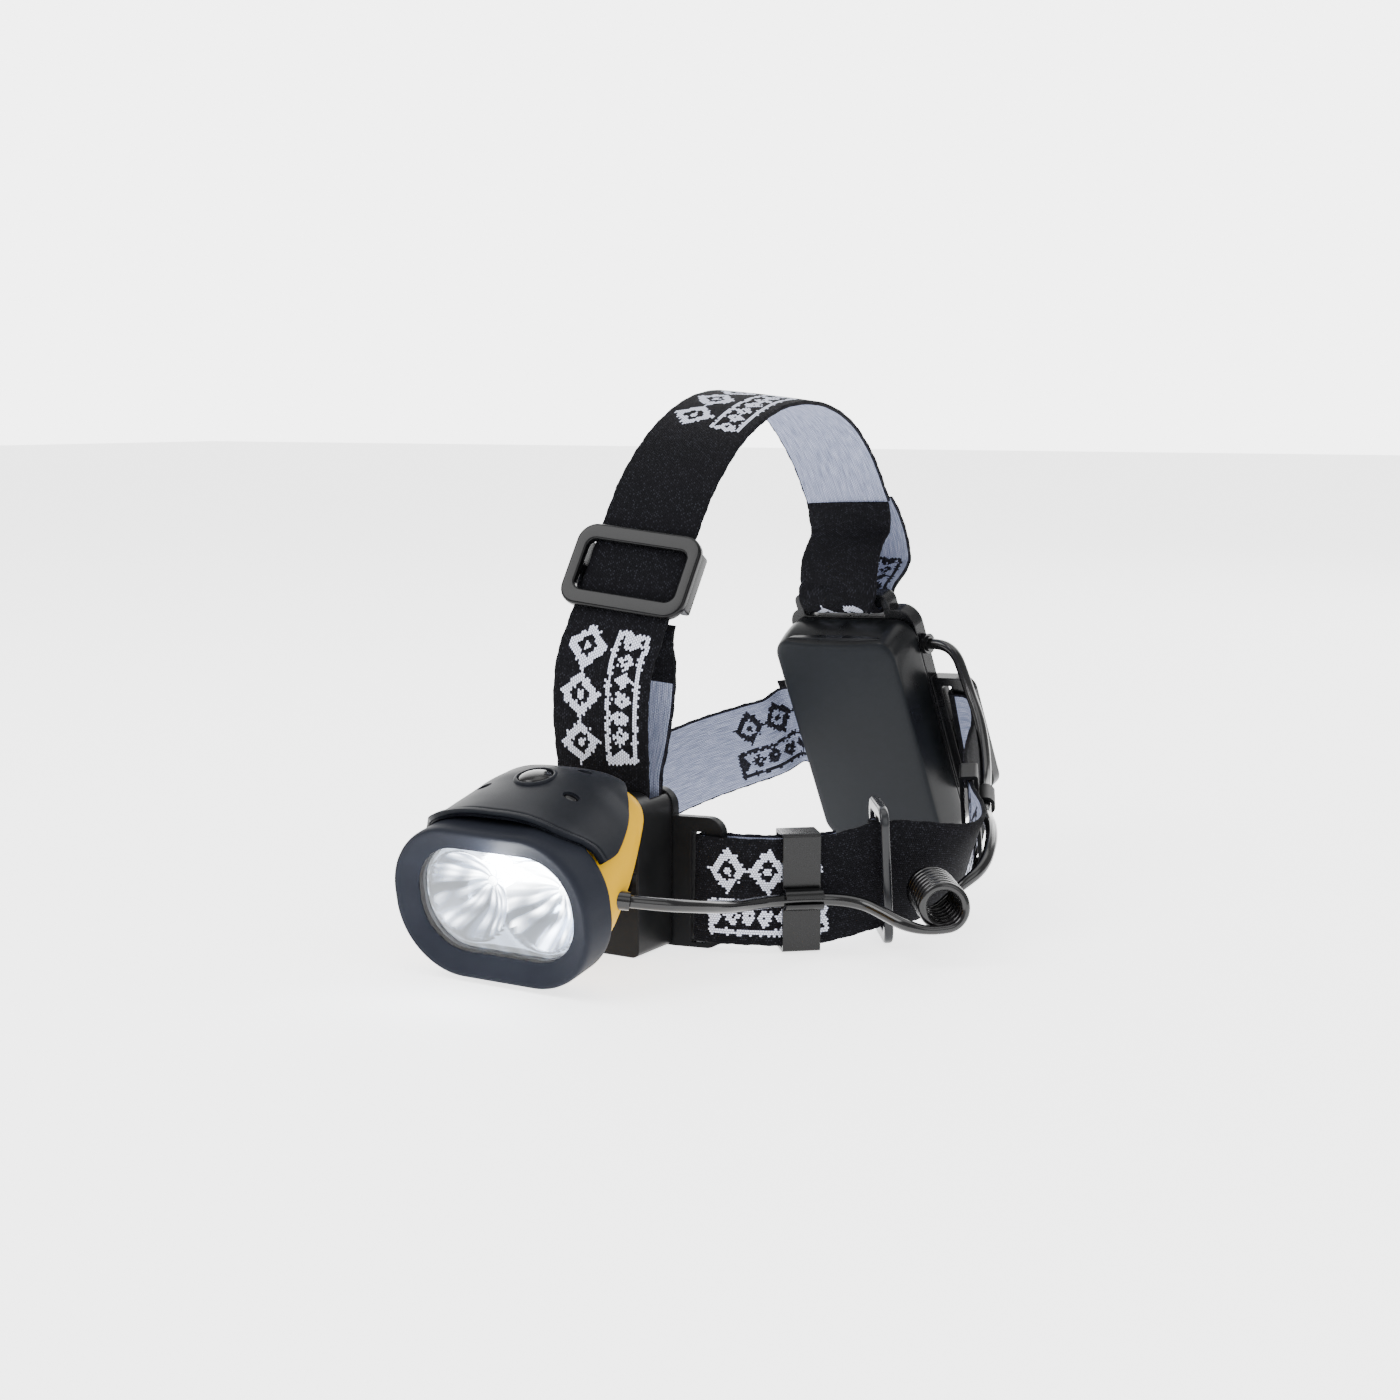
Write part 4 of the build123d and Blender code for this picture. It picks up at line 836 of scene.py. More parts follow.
BEZ = [(48.8, 29.0, 13.3, 3.38), (49.2, 29.4, 13.5, 3.05), (49.9, 30.1, 13.85, 2.75), (51.6, 31.9, 14.8, 2.32), (54.2, 34.5, 16.1, 1.66), (56.6, 36.9, 17.2, 1.02),
       (58.2, 38.5, 18.0, 0.58), (59.3, 39.7, 18.5, 0.34), (60.1, 40.6, 18.9, 0.36), (60.7, 41.25, 19.1, 0.66), (61.1, 41.7, 19.3, 1.2), (61.35, 41.95, 19.38, 2.0),
       (61.4, 42.0, 19.4, 3.0), (61.4, 42.0, 19.4, 6.0), (61.4, 42.0, 19.4, 9.4), (61.4, 42.0, 19.4, 11.0), (61.2, 41.8, 19.3, 11.6), (60.7, 41.3, 19.1, 11.95),
       (59.6, 40.2, 18.6, 12.0), (58.0, 38.6, 17.9, 12.0), (57.5, 38.1, 17.6, 11.8), (57.4, 38.0, 17.5, 11.2), (57.4, 38.0, 17.5, 8.7), (53.2, 33.8, 15.5, 8.6), (53.1, 33.7, 15.4, 3.5)]
bezel = rings_mesh("bezel_ring", lamp_rings(BEZ), [MAT["bezel"]], loop_rings=True)
sharp(bezel, 45)
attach(bezel, "lamp_head")
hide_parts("bezel")

# lens: a slightly crowned plate
LENS = [(48.9, 29.1, 13.3, 5.0), (52.4, 33.0, 15.1, 5.0), (52.6, 33.2, 15.2, 4.7), (52.6, 33.2, 15.2, 3.7), (52.4, 33.0, 15.1, 3.45), (50.0, 30.4, 14.0, 3.42), (44.0, 24.6, 11.4, 3.28),
        (34.0, 17.0, 8.0, 3.12), (20.0, 9.0, 4.2, 3.03), (6.0, 3.0, 1.4, 3.0)]
lens = rings_mesh("lens_plate", lamp_rings(LENS), [MAT["lens"]], cap0=True, cap1=True)
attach(lens, "lamp_head")
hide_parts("lens")

CUPS = [(-11.4, -0.4, 12.7, 12.0), (11.4, -0.4, 12.7, 12.0), (0.0, 8.0, 5.5, 11.2)]


def cup_depth(x, z):
    best, idx = 0.0, -1
    for i, (cx, cz, R, dp) in enumerate(CUPS):
        r = math.hypot(x - cx, z - cz)
        if r < R:
            d = dp * (1 - (r / R) ** 2)
            if d > best:
                best, idx = d, i
    return best, idx


def streak(a, i):
    """Painted reflection brightness of the facets round a cup, 0..1."""
    v = 0.0
    for f, w, ph in ((5, 0.5, 0.7 + i), (9, 0.6, 2.1 + 1.7 * i), (14, 0.55, 4.0 + i * 0.9), (23, 0.35, 1.0 + i * 2.2)):
        v += w * math.sin(a * f + ph)
    return 0.5 + 0.5 * math.tanh(v * 1.25)


def reflector_mesh():
    out = rr(52.2, 32.8, 15.0, 36, 12)
    n = len(out)
    nr = 74
    # the colours gathered here are painted light: painted reflection streaks, painted highlights and painted shade,
    # stored as the glow colours
    verts, cols = [], []
    for k in range(nr + 1):
        s = 1.0 - k / nr
        for x0, z0 in out:
            x, z = x0 * s, z0 * s
            d, i = cup_depth(x, z)
            b = 6.45 + d
            rim = math.hypot(max(0, abs(x) - 10.5), z + 0.0)
            if i >= 0:
                cx, cz, R, dp = CUPS[i]
                r = math.hypot(x - cx, z - cz) / R
                a = math.atan2(z - cz, x - cx)
                st = streak(a + (0.05 * math.sin(r * 9.0)), i)
                band = 0.5 + 0.5 * math.sin(r * 17.0 + 2.0 * math.sin(3 * a))
                # painted beam highlight: very bright toward the upper right of each cup; painted facet reflections show
                # toward the rim
                core = math.exp(-((x - cx - 2.2) ** 2 + (z - cz - 3.0) ** 2) / 46.0)
                v = 0.05 + 1.05 * st ** 2.3 * (0.35 + 0.65 * band) + 1.20 * core * (0.45 + 0.55 * st)
                # painted shade round each cup's edge
                if r > 0.955:
                    v *= 0.22
                # the small upper cup is painted bright
                if i == 2:
                    v = max(v, 1.15)
            else:
                # painted glow on the flat reflector between the cups
                v = 0.16 + 0.10 * math.sin(x * 0.9 + z * 0.7)
            # painted bright glow toward the upper middle
            v += 1.35 * math.exp(-((x - 1.5) ** 2 / 120.0 + (z - 7.0) ** 2 / 52.0))
            # painted rim highlight, dimmer to the left and bottom, then painted shade in a scalloped band on the left
            # and bottom
            edge = s
            if edge > 0.962:
                v = 0.42 if (x < -8 or z < -6) else 0.8
            elif edge > 0.915:
                sc = 0.5 + 0.5 * math.cos(math.atan2(z, x) * 22)
                if x < 4 or z < -2:
                    v = 0.05 + 0.12 * sc
            v = max(0.02, min(1.6, v))
            t = max(0.0, min(1.0, (v - 0.1) / 0.9))
            # the painted light turns from bluish when dim to near white when bright
            tint = (0.56 + 0.44 * t, 0.66 + 0.34 * t, 0.86 + 0.14 * t)
            verts.append(M(Lp(x, b, z)))
            cols.append((v * tint[0], v * tint[1], v * tint[2], 1.0))
    faces = []
    for k in range(nr):
        for j in range(n):
            j2 = (j + 1) % n
            faces.append((k * n + j, k * n + j2, (k + 1) * n + j2, (k + 1) * n + j))
    # collapse the centre ring into one point
    faces = [f for f in faces]
    o = mesh_obj("reflector_cups", verts, faces, [MAT["reflector"]])
    ca = o.data.color_attributes.new(name="glow", type="FLOAT_COLOR", domain="POINT")
    for i, c in enumerate(cols):
        ca.data[i].color = c
    bm = bmesh.new()
    bm.from_mesh(o.data)
    bmesh.ops.remove_doubles(bm, verts=bm.verts[:], dist=1e-6)
    # skirt behind so that the piece is a closed shell
    edge = [e for e in bm.edges if len(e.link_faces) == 1]
    ret = bmesh.ops.extrude_edge_only(bm, edges=edge)
    nv = [v for v in ret["geom"] if isinstance(v, bmesh.types.BMVert)]
    back = (LB * 0.0013)
    for v in nv:
        v.co += back
    be = [e for e in bm.edges if len(e.link_faces) == 1]
    ret = bmesh.ops.extrude_edge_only(bm, edges=be)
    nv = [v for v in ret["geom"] if isinstance(v, bmesh.types.BMVert)]
    c = M(Lp(0, 0, 0))
    for v in nv:
        d = v.co - c
        x = d.x
        u = d.dot(LU)
        s = 0.955
        v.co = c + Vector((x * s, 0, 0)) + LU * (u * s) + LB * (d.dot(LB) + 0.0105)
    be = [e for e in bm.edges if len(e.link_faces) == 1]
    bmesh.ops.contextual_create(bm, geom=be)
    bmesh.ops.recalc_face_normals(bm, faces=bm.faces[:])
    bm.to_mesh(o.data)
    bm.free()
    return o


refl = reflector_mesh()
sharp(refl, 40)
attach(refl, "lamp_head")
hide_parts("reflector")

# yellow shell
HWT = [(8.8, 28.2), (14, 28.3), (20, 28.0), (26, 27.3), (31, 26.5), (35, 25.5), (38, 24.7), (40.5, 23.9), (42, 22.6), (43.2, 20.2), (44, 16.5), (44.4, 12)]
TOPT = [(8.8, 17.9), (12, 20.4), (16, 22.4), (24, 24.0), (30, 24.8), (34, 24.6), (38, 23.6), (40.5, 23.0), (42.4, 22.2), (43.6, 20.4), (44.4, 17.4)]
BOTT = [(8.8, -16.3), (12, -16.3), (15.5, -15.9), (18, -14.6), (20, -13.1), (24, -9.5), (27.5, -6.4), (32, -2.8), (36.0, 0.3), (39, 3.2), (41.5, 6.6), (43.2, 9.8), (44.4, 13.0)]
MIDT = [(8.8, 1.0), (20, 3.0), (27, 5.0), (32, 8.0), (36, 10.5), (40, 13.2), (44.4, 14.8)]
EXPT = [(8.8, 2.3), (20, 2.1), (34, 2.15), (44.4, 2.4)]
EXPB = [(8.8, 3.0), (14, 3.6), (22, 3.4), (34, 2.7), (44.4, 2.4)]


def shell_ring(b, inset=0.0, n=112):
    w = lerp_table(HWT, b) - inset
    t = lerp_table(TOPT, b) - inset
    bo = lerp_table(BOTT, b) + inset
    c = lerp_table(MIDT, b)
    e1, e2 = lerp_table(EXPT, b), lerp_table(EXPB, b)
    out = []
    for k in range(n):
        a = 2 * math.pi * k / n
        ca, sa = math.cos(a), math.sin(a)
        e, h = (e1, t - c) if sa > 0 else (e2, c - bo)
        x = w * math.copysign(abs(ca) ** (2 / e), ca)
        u = c + h * math.copysign(abs(sa) ** (2 / e), sa)
        out.append(M(Lp(x, b, u)))
    return out


bs = [8.9, 9.4, 10.4, 12, 13.5, 15, 16.5, 18, 19.5, 21, 22.5, 24, 25.5, 27, 28.5, 30, 31.5, 33, 34.5, 35.9, 37.2, 38.4, 39.5, 40.5, 41.3, 42.0, 42.6, 43.1, 43.5, 43.8, 44.05, 44.25, 44.38]
rings = [shell_ring(b, 2.2) for b in (38.6, 36.0, 32.0, 27.0, 22.0, 17.0, 12.0, 9.3)] + [shell_ring(8.9, 1.9), shell_ring(8.85, 0.5)] + [shell_ring(b) for b in bs]
shell = rings_mesh("lamp_shell", rings, [MAT["yellow"]], cap0=True, cap1=True)
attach(shell, "lamp_head")
HB, HU = 43.6, -7.7
HBv = (-21.0 + 65.3) * math.cos(LEAN) + (21.0 - 21.25) * math.sin(LEAN)
HUv = -(-21.0 + 65.3) * math.sin(LEAN) + (21.0 - 21.25) * math.cos(LEAN)
kp = []
for k in range(26):
    a = math.radians(-128 + 9.2 * k)
    kp.append((HBv + 4.4 * math.cos(a), HUv + 4.4 * math.sin(a)))
kp += [(37.5, -2.2), (33.5, 1.4), (29.5, -1.2), (25.6, -5.0), (31.0, -7.6)]


def slab(name, outline, x0, x1, bevel, mats):
    """Outline (b, u) swept across x with rounded edges."""
    n = len(outline)
    c = (sum(p[0] for p in outline) / n, sum(p[1] for p in outline) / n)
    rings = []
    for dx, ins in ((0.0, bevel), (bevel * 0.3, bevel * 0.3), (bevel, 0.0)):
        rings.append((x0 + dx, ins))
    for dx, ins in ((bevel, 0.0), (bevel * 0.3, bevel * 0.3), (0.0, bevel)):
        rings.append((x1 - dx, ins))
    out = []
    for x, ins in rings:
        row = []
        for i, p in enumerate(outline):
            a, b = outline[i - 1], outline[(i + 1) % n]
            tx, tz = b[0] - a[0], b[1] - a[1]
            l = math.hypot(tx, tz) or 1.0
            nx, nz = tz / l, -tx / l
            if (c[0] - p[0]) * nx + (c[1] - p[1]) * nz < 0:
                nx, nz = -nx, -nz
            row.append(M(Lp(x, p[0] + nx * ins, p[1] + nz * ins)))
        out.append(row)
    return rings_mesh(name, out, mats, cap0=True, cap1=True)


knuckle = slab("lamp_knuckle", kp, -5.9, 5.9, 0.5, [MAT["yellow"]])
sharp(knuckle, 40)
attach(knuckle, "lamp_head")
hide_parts("lamp_body")

# cover: a soft hood patch over the shell
U0 = 3.4
WT = [(6.0, 30.9), (13, 30.4), (20, 29.9), (28, 29.0), (34, 27.8), (38, 26.5), (42, 24.8), (44, 23.2)]
CT = [(6.0, 24.2), (10, 25.0), (16, 25.9), (24, 26.9), (30, 27.6), (34, 27.4), (38, 26.3), (41, 25.3), (43, 24.3), (44, 23.0)]
NT_ = [(6.0, 2.5), (10, 2.3), (14, 2.18), (24, 2.15), (34, 2.25), (39, 2.8), (44, 3.4)]
SIDE_U = [(6.0, 13.6), (9.0, 12.9), (11.0, 12.3), (14.0, 11.4), (17.5, 11.1), (20.0, 11.2), (22.3, 11.8), (27.2, 13.7), (33.1, 16.5), (36.0, 18.5), (38.7, 20.6), (41.9, 21.9), (44.0, 22.2)]
FRONT_B = [(0, 6.5), (10, 6.9), (18, 7.2), (22, 8.6), (25, 11.4), (27, 13.0), (31, 13.5)]


def hood(b, th, off=0.0):
    W, T, n = lerp_table(WT, b) + off, lerp_table(CT, b) + off, lerp_table(NT_, b)
    H = T - U0
    s, c = math.sin(th), math.cos(th)
    return W * math.copysign(abs(s) ** (2 / n), s), U0 + H * abs(c) ** (2 / n)


def th_max(b):
    n = lerp_table(NT_, b)
    H = lerp_table(CT, b) - U0
    su = lerp_table(SIDE_U, b)
    return math.acos(max(0.0, min(1.0, (su - U0) / H)) ** (n / 2))


def cover_mesh():
    ns = 96
    svals = [-1 + 2 * k / ns for k in range(ns + 1)]
    dists = [0, 0.3, 0.7, 1.1, 1.35, 1.55, 1.8, 2.05, 2.3, 2.7, 3.3, 4.1, 5.0]
    rows = []
    B1 = 43.4
    for d in dists + [None] * 40:
        rows.append(d)
    nb = len(rows)
    verts = []
    for i in range(nb):
        row = []
        for s in svals:
            # find the front edge for this meridian
            thm = th_max(9.0)
            x_f, _ = hood(9.0, s * thm)
            bf = lerp_table(FRONT_B, abs(x_f))
            if i < len(dists):
                b = bf + dists[i]
                d = dists[i]
            else:
                t = (i - len(dists) + 1) / 40.0
                b = bf + dists[-1] + (B1 - bf - dists[-1]) * t
                d = b - bf
            off = 0.0
            if d < 1.2:
                off = 0.42
            elif d < 1.6:
                off = 0.42 - 0.95 * (d - 1.2) / 0.4
            elif d < 2.1:
                off = -0.53 + 0.55 * (d - 1.6) / 0.5
            elif d < 2.8:
                off = 0.02
            th = s * th_max(b)
            x, u = hood(b, th, off)
            row.append((x, b, u))
        verts.append(row)
    V = [M(Lp(*p)) for row in verts for p in row]
    F = []
    w = ns + 1
    for i in range(nb - 1):
        for k in range(ns):
            F.append((i * w + k, i * w + k + 1, (i + 1) * w + k + 1, (i + 1) * w + k))
    o = mesh_obj("top_hood", V, F, [MAT["cover"]])
    bm = bmesh.new()
    bm.from_mesh(o.data)
    bmesh.ops.recalc_face_normals(bm, faces=bm.faces[:])
    # normals outward: away from the shell's middle
    c = M(Lp(0, 24, 5))
    f = max(bm.faces, key=lambda f: f.calc_center_median().z)
    if (f.calc_center_median() - c).dot(f.normal) < 0:
        bmesh.ops.reverse_faces(bm, faces=bm.faces[:])
    bm.to_mesh(o.data)
    bm.free()
    sol = o.modifiers.new("sol", "SOLIDIFY")
    sol.thickness = 0.0019
    sol.offset = -1
    sol.use_even_offset = False
    bv = o.modifiers.new("bev", "BEVEL")
    bv.width = 0.0005
    bv.segments = 2
    bv.limit_method = "ANGLE"
    bv.angle_limit = math.radians(55)
    apply_mods(o)
    return o


def cutter(name, fn, rings, n=40):
    rs = []
    for r1, r2, h in rings:
        rs.append([fn(r1 * math.cos(2 * math.pi * k / n), r2 * math.sin(2 * math.pi * k / n), h) for k in range(n)])
    return rings_mesh(name, rs, [MAT["cover"]], cap0=True, cap1=True)


def boolean(o, tools, op="DIFFERENCE"):
    for t in tools:
        md = o.modifiers.new("b", "BOOLEAN")
        md.object = t
        md.operation = op
        md.solver = "EXACT"
        apply_mods(o)
        me = t.data
        bpy.data.objects.remove(t)
        bpy.data.meshes.remove(me)
    return o


cover = cover_mesh()


def at_hood(x, b):
    """Surface point and its tangent frame on the hood at (x, b)."""
    lo, hi = 0.0, math.pi / 2
    for _ in range(40):
        m = (lo + hi) / 2
        if abs(hood(b, m)[0]) < abs(x):
            lo = m
        else:
            hi = m
    th = math.copysign(lo, x)
    p = Vector((hood(b, th)[0], b, hood(b, th)[1]))
    e = 0.05
    p1 = Vector((hood(b, th + e)[0], b, hood(b, th + e)[1]))
    p2 = Vector((hood(b + 0.5, th)[0], b + 0.5, hood(b + 0.5, th)[1]))
    n = (p1 - p).cross(p2 - p).normalized()
    if n.z < 0:
        n = -n
    tx = (p1 - p).normalized()
    ty = n.cross(tx)
    return p, tx, ty, n


SWB = 27.4
tools = [cutter("cut_button", lambda x, y, h: M(Lp(x, SWB + y, h)), [(5.42, 5.42, 20), (5.42, 5.42, 32)], 64)]
DIMPLES = [(-14.0, 23.0, 2.5, 1.7), (14.0, 23.0, 2.5, 1.7), (-9.2, 37.0, 2.2, 1.3), (9.2, 37.0, 2.2, 1.3)]
inserts = []
for i, (dx, db, ra, rb) in enumerate(DIMPLES):
    p, tx, ty, nn = at_hood(dx, db)

    def fn(x, y, h, p=p, tx=tx, ty=ty, nn=nn):
        q = p + tx * x + ty * y + nn * h
        return M(Lp(q.x, q.y, q.z))
    tools.append(cutter("cut_dimple%d" % i, fn, [(ra * 0.75, rb * 0.75, -0.9), (ra * 0.93, rb * 0.93, -0.6), (ra, rb, 0.0), (ra * 1.12, rb * 1.12, 0.5), (ra * 1.3, rb * 1.3, 1.6)]))
    inserts.append(cutter("dimple_insert_%d" % (i + 1), fn, [(0.3, 0.2, -0.52), (ra * 0.5, rb * 0.5, -0.58), (ra * 0.84, rb * 0.84, -0.72), (ra * 0.8, rb * 0.8, -1.1)]))
boolean(cover, tools)
sharp(cover, 32)
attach(cover, "lamp_head")
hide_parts("top_cover")
for o in inserts:
    o.data.materials.clear()
    o.data.materials.append(MAT["button"])
    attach(o, "lamp_head")

# raised rim round the button
rim = lathe("button_rim", [(4.86, 24.6), (4.86, 27.25), (4.92, 27.45), (5.1, 27.56), (5.35, 27.54), (5.7, 27.42), (6.0, 27.1), (6.05, 25.2), (5.6, 24.6)],
            lambda x, y, h: M(Lp(x, SWB + y, h - 0.02 + 0.045 * y)), [MAT["cover"]], 64, cap0=False, cap1=False)
bm = bmesh.new()
bm.from_mesh(rim.data)
be = [e for e in bm.edges if len(e.link_faces) == 1]
bmesh.ops.bridge_loops(bm, edges=be)
bmesh.ops.recalc_face_normals(bm, faces=bm.faces[:])
bm.to_mesh(rim.data)
bm.free()
sharp(rim, 60)
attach(rim, "lamp_head")
btn = lathe("power_dome", [(1.4, 23.5), (4.3, 23.6), (4.62, 23.8), (4.7, 24.2), (4.7, 26.6), (4.66, 27.0), (4.45, 27.32), (4.0, 27.62), (3.2, 27.95), (2.2, 28.2), (1.1, 28.34), (0.4, 28.38)],
            lambda x, y, h: M(Lp(x, SWB + y, h)), [MAT["button"]], 56)
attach(btn, "power_button")
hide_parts("power_button")


# ------------------------------------------------------------------ sliders
def frame_fn(o, xd, zd):
    x = Vector(xd).normalized()
    z = Vector(zd).normalized()
    y = z.cross(x)
    o = Vector(o)

    def f(a, b, c):
        return M(o + x * a + y * b + z * c)
    return f, x, y, z


def ring_piece(name, fn, outer, inner, t, mats, offset=(0, 0, 0), e=0.75):
    """Flat ring with rounded edges. outer and inner are (w, h, r); t is its thickness."""
    (W, H, R), (w, h, r) = outer, inner
    ht = t / 2
    prof = []
    for k in range(7):
        a = math.pi / 2 * k / 6
        prof.append((W - 2 * e * (1 - math.cos(a)), H - 2 * e * (1 - math.cos(a)), R - e * (1 - math.cos(a)), ht - e + e * math.sin(a)))
    e2 = e * 0.8
    for k in range(7):
        a = math.pi / 2 * (1 - k / 6)
        prof.append((w + 2 * e2 * (1 - math.cos(a)), h + 2 * e2 * (1 - math.cos(a)), r + e2 * (1 - math.cos(a)), ht - e2 + e2 * math.sin(a)))
    prof2 = [(a, b, c, -d) for a, b, c, d in prof[::-1]]
    rings = []
    for (a, b, c, d) in prof + prof2:
        rings.append([fn(x + offset[0], y + offset[1], d + offset[2]) for x, y in rr(a, b, c, 12, 6)])
    return rings_mesh(name, rings, mats, loop_rings=True)


def round_box(name, fn, x0, x1, y0, y1, z0, z1, r, mats):
    """Box with rounded long edges along local x."""
    cy, cz = (y0 + y1) / 2, (z0 + z1) / 2
    sec = rr(y1 - y0, z1 - z0, r, 6, 2)
    rings = []
    for x, s in ((x0, 0.86), (x0 + r * 0.3, 0.96), (x0 + r * 0.8, 1.0), (x1 - r * 0.8, 1.0), (x1 - r * 0.3, 0.96), (x1, 0.86)):
        rings.append([fn(x, cy + a * s, cz + b * s) for a, b in sec])
    return rings_mesh(name, rings, mats, cap0=True, cap1=True)


def join(name, objs):
    """Merge meshes into one piece."""
    bm = bmesh.new()
    mats = []
    for o in objs:
        idx = {}
        for i, m in enumerate(o.data.materials):
            if m not in mats:
                mats.append(m)
            idx[i] = mats.index(m)
        n0 = len(bm.faces)
        bm.from_mesh(o.data)
        bm.faces.ensure_lookup_table()
        for f in bm.faces[n0:]:
            f.material_index = idx.get(f.material_index, 0)
    me = bpy.data.meshes.new(name)
    bm.to_mesh(me)
    bm.free()
    for m in mats:
        me.materials.append(m)
    for o in objs:
        d = o.data
        bpy.data.objects.remove(o)
        bpy.data.meshes.remove(d)
    return link(bpy.data.objects.new(name, me))


RING_W, RING_L, RING_T = 39.0, 25.0, 2.6
TS_C = Vector((1.5, 2.9, 103.1))
TS_T = Vector((1.7, 17.0, 29.4)).normalized()
TS_A = Vector((1, .08, -.10))
TS_A = (TS_A - TS_T * TS_A.dot(TS_T)).normalized()
TS_N = TS_A.cross(TS_T).normalized()
if TS_N.y > 0:
    TS_N = -TS_N
OFF = STRAP_T / 2 + RING_T / 2 + 0.25
tsf, tx_, ty_, tz_ = frame_fn(TS_C, TS_A, TS_N)
parts = [ring_piece("ts_ring", tsf, (39, 25, 5.6), (31.6, 15.6, 2.6), 2.6, [MAT["slider"]], (0, 0, OFF))]
for sx in (-1, 1):
    parts.append(round_box("ts_rail", lambda a, b, c, sx=sx: tsf(sx * 17.75 + b, a, c), -8.6, 8.6, -1.5, 1.5, -OFF - 0.9, OFF + 0.5, 0.9, [MAT["slider"]]))
bar = []
for x in (-18.2, -17.6, -16, -8, 0, 8, 16, 17.6, 18.2):
    rr_ = 1.6 if abs(x) < 18 else 1.3
    bar.append([tsf(x, rr_ * math.cos(2 * math.pi * k / 20), -OFF - 0.55 + rr_ * math.sin(2 * math.pi * k / 20)) for k in range(20)])
parts.append(rings_mesh("ts_bar", bar, [MAT["slider"]], cap0=True, cap1=True))
ts = join("top_tri_glide", parts)
sharp(ts, 40)
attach(ts, "top_slider")
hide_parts("top_slider")


def local_ribbon(name, fn, path2, x_axis, width, thick, outer, du):
    """Short band bent in the local y-z plane; its width lies along local x."""
    st = []
    for y, z in path2:
        p = fn(0, y, z) * 1000.0 - SH
        st.append((p.x, p.y, p.z, x_axis.x, x_axis.y, x_axis.z))
    return ribbon(name, st, outer, du=du, width=width, thick=thick, step=0.45, wave=0.0, trim=0.5, across=18)


zc = -OFF - 0.55
se, lse = local_ribbon("top_slider_band_end", tsf, [(-5.7, zc - 2.22), (-3.4, zc - 2.22), (-0.8, zc - 2.26), (1.0, zc - 2.0), (2.1, zc - 0.8), (2.15, zc + 0.5), (1.6, zc + 1.5)], tx_, 29.4, 1.15, 1, -50)
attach(se, "top_slider")
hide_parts("top_slider_strap_end")

SS_C = Vector((66.6, 30.0, 20.3))
SS_T = Vector((10.2, 15.2, 0.9)).normalized()
SS_N = Vector((SS_T.y, -SS_T.x, 0))
SS_YAW = math.radians(-22.0)
SS_Z = Vector((SS_T.x * math.cos(SS_YAW) - SS_T.y * math.sin(SS_YAW), SS_T.x * math.sin(SS_YAW) + SS_T.y * math.cos(SS_YAW), SS_T.z))
SS_X = (ZZ - SS_Z * SS_Z.z).normalized()
ssf, sx_, sy_, sz_ = frame_fn(SS_C, SS_X, SS_Z)
sgn = 1.0 if sy_.dot(SS_N) > 0 else -1.0
WIN = (RING_L - 3 * 3.2) / 2
SOFF = sgn * (-(1.6 + WIN / 2))
parts = [ring_piece("ss_ring", ssf, (39, 25, 5.2), (31.8, 18.6, 1.9), 2.6, [MAT["slider_side"]], (0, SOFF, 0), e=0.8)]
parts.append(round_box("ss_mid", lambda a, b, c: ssf(a, SOFF + b, c), -16.6, 16.6, -1.6, 1.6, -1.15, 1.15, 0.7, [MAT["slider_side"]]))
ss = join("side_tri_glide", parts)
sharp(ss, 40)
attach(ss, "side_slider")
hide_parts("side_slider")
sse, lsse = local_ribbon("side_slider_band_end", ssf, [(SOFF - sgn * 2.8, 1.9), (SOFF - sgn * 2.8, 0.3), (SOFF - sgn * 2.2, -1.75), (SOFF, -2.78), (SOFF + sgn * 2.2, -1.75), (SOFF + sgn * 2.78, -0.1)], sx_, 29.2, 1.15, 1, -13)
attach(sse, "side_slider")
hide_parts("side_slider_strap_end")

# ------------------------------------------------------------------ battery pack cover
PWD, PHT, PDP = 50.0, 78.8, 13.0


def pack_ring(il, ir, it, ib, d, dip=0.0, rad=6.5):
    """Outline of the cover with its own inset at each side; dip hollows the top edge."""
    w, h = PWD - il - ir, PHT - it - ib
    out = []
    for x, z in rr(w, h, rad, 18, 26):
        u = il + w / 2 + x
        k = max(0.0, 1 - (2 * x / w) ** 2)
        t = max(0.0, min(1.0, (z / h + 0.5 - 0.72) / 0.28))
        out.append(M(P(u, ib + h / 2 + z - dip * k * t * t * (3 - 2 * t), d)))
    return out


PR = [pack_ring(1.8, 1.8, 1.8, 1.8, 12.0), pack_ring(1.6, 1.6, 1.6, 1.6, 12.88), pack_ring(0.25, 0.25, 0.25, 0.25, 12.95), pack_ring(0.03, 0.03, 0.03, 0.03, 12.7), pack_ring(0, 0, 0, 0, 12.2),
      pack_ring(0.0, 0.0, 0.0, 0.0, 10.0), pack_ring(0.05, 0.15, 0.2, 0.1, 8.0, 0.2), pack_ring(0.1, 0.45, 0.7, 0.25, 5.5, 0.5), pack_ring(0.2, 0.8, 1.25, 0.4, 3.4, 0.9), pack_ring(0.3, 1.05, 1.65, 0.5, 2.0, 1.25),
      pack_ring(0.4, 1.2, 1.85, 0.6, 1.3, 1.45), pack_ring(0.62, 1.42, 2.05, 0.8, 0.75, 1.55), pack_ring(0.95, 1.75, 2.35, 1.1, 0.38, 1.6), pack_ring(1.4, 2.2, 2.75, 1.5, 0.14, 1.6),
      pack_ring(1.9, 2.7, 3.2, 2.0, 0.05, 1.55, 5.8), pack_ring(3.4, 4.2, 4.7, 3.5, 0.02, 1.3, 5.2), pack_ring(7.5, 8.3, 8.8, 7.6, 0.02, 0.8, 4.5), pack_ring(14, 14.6, 15.0, 14.2, 0.02, 0.2, 4), pack_ring(21.5, 21.5, 21.5, 21.5, 0.02, 0.0, 3)]
cov = rings_mesh("pack_cover_shell", PR, [MAT["pack_side"], MAT["slate"]], cap0=False, cap1=True)
nring = len(PR[0])
for f in cov.data.polygons:
    f.material_index = 1 if f.index // nring >= 11 else 0
bm = bmesh.new()
bm.from_mesh(cov.data)
be = [e for e in bm.edges if len(e.link_faces) == 1]
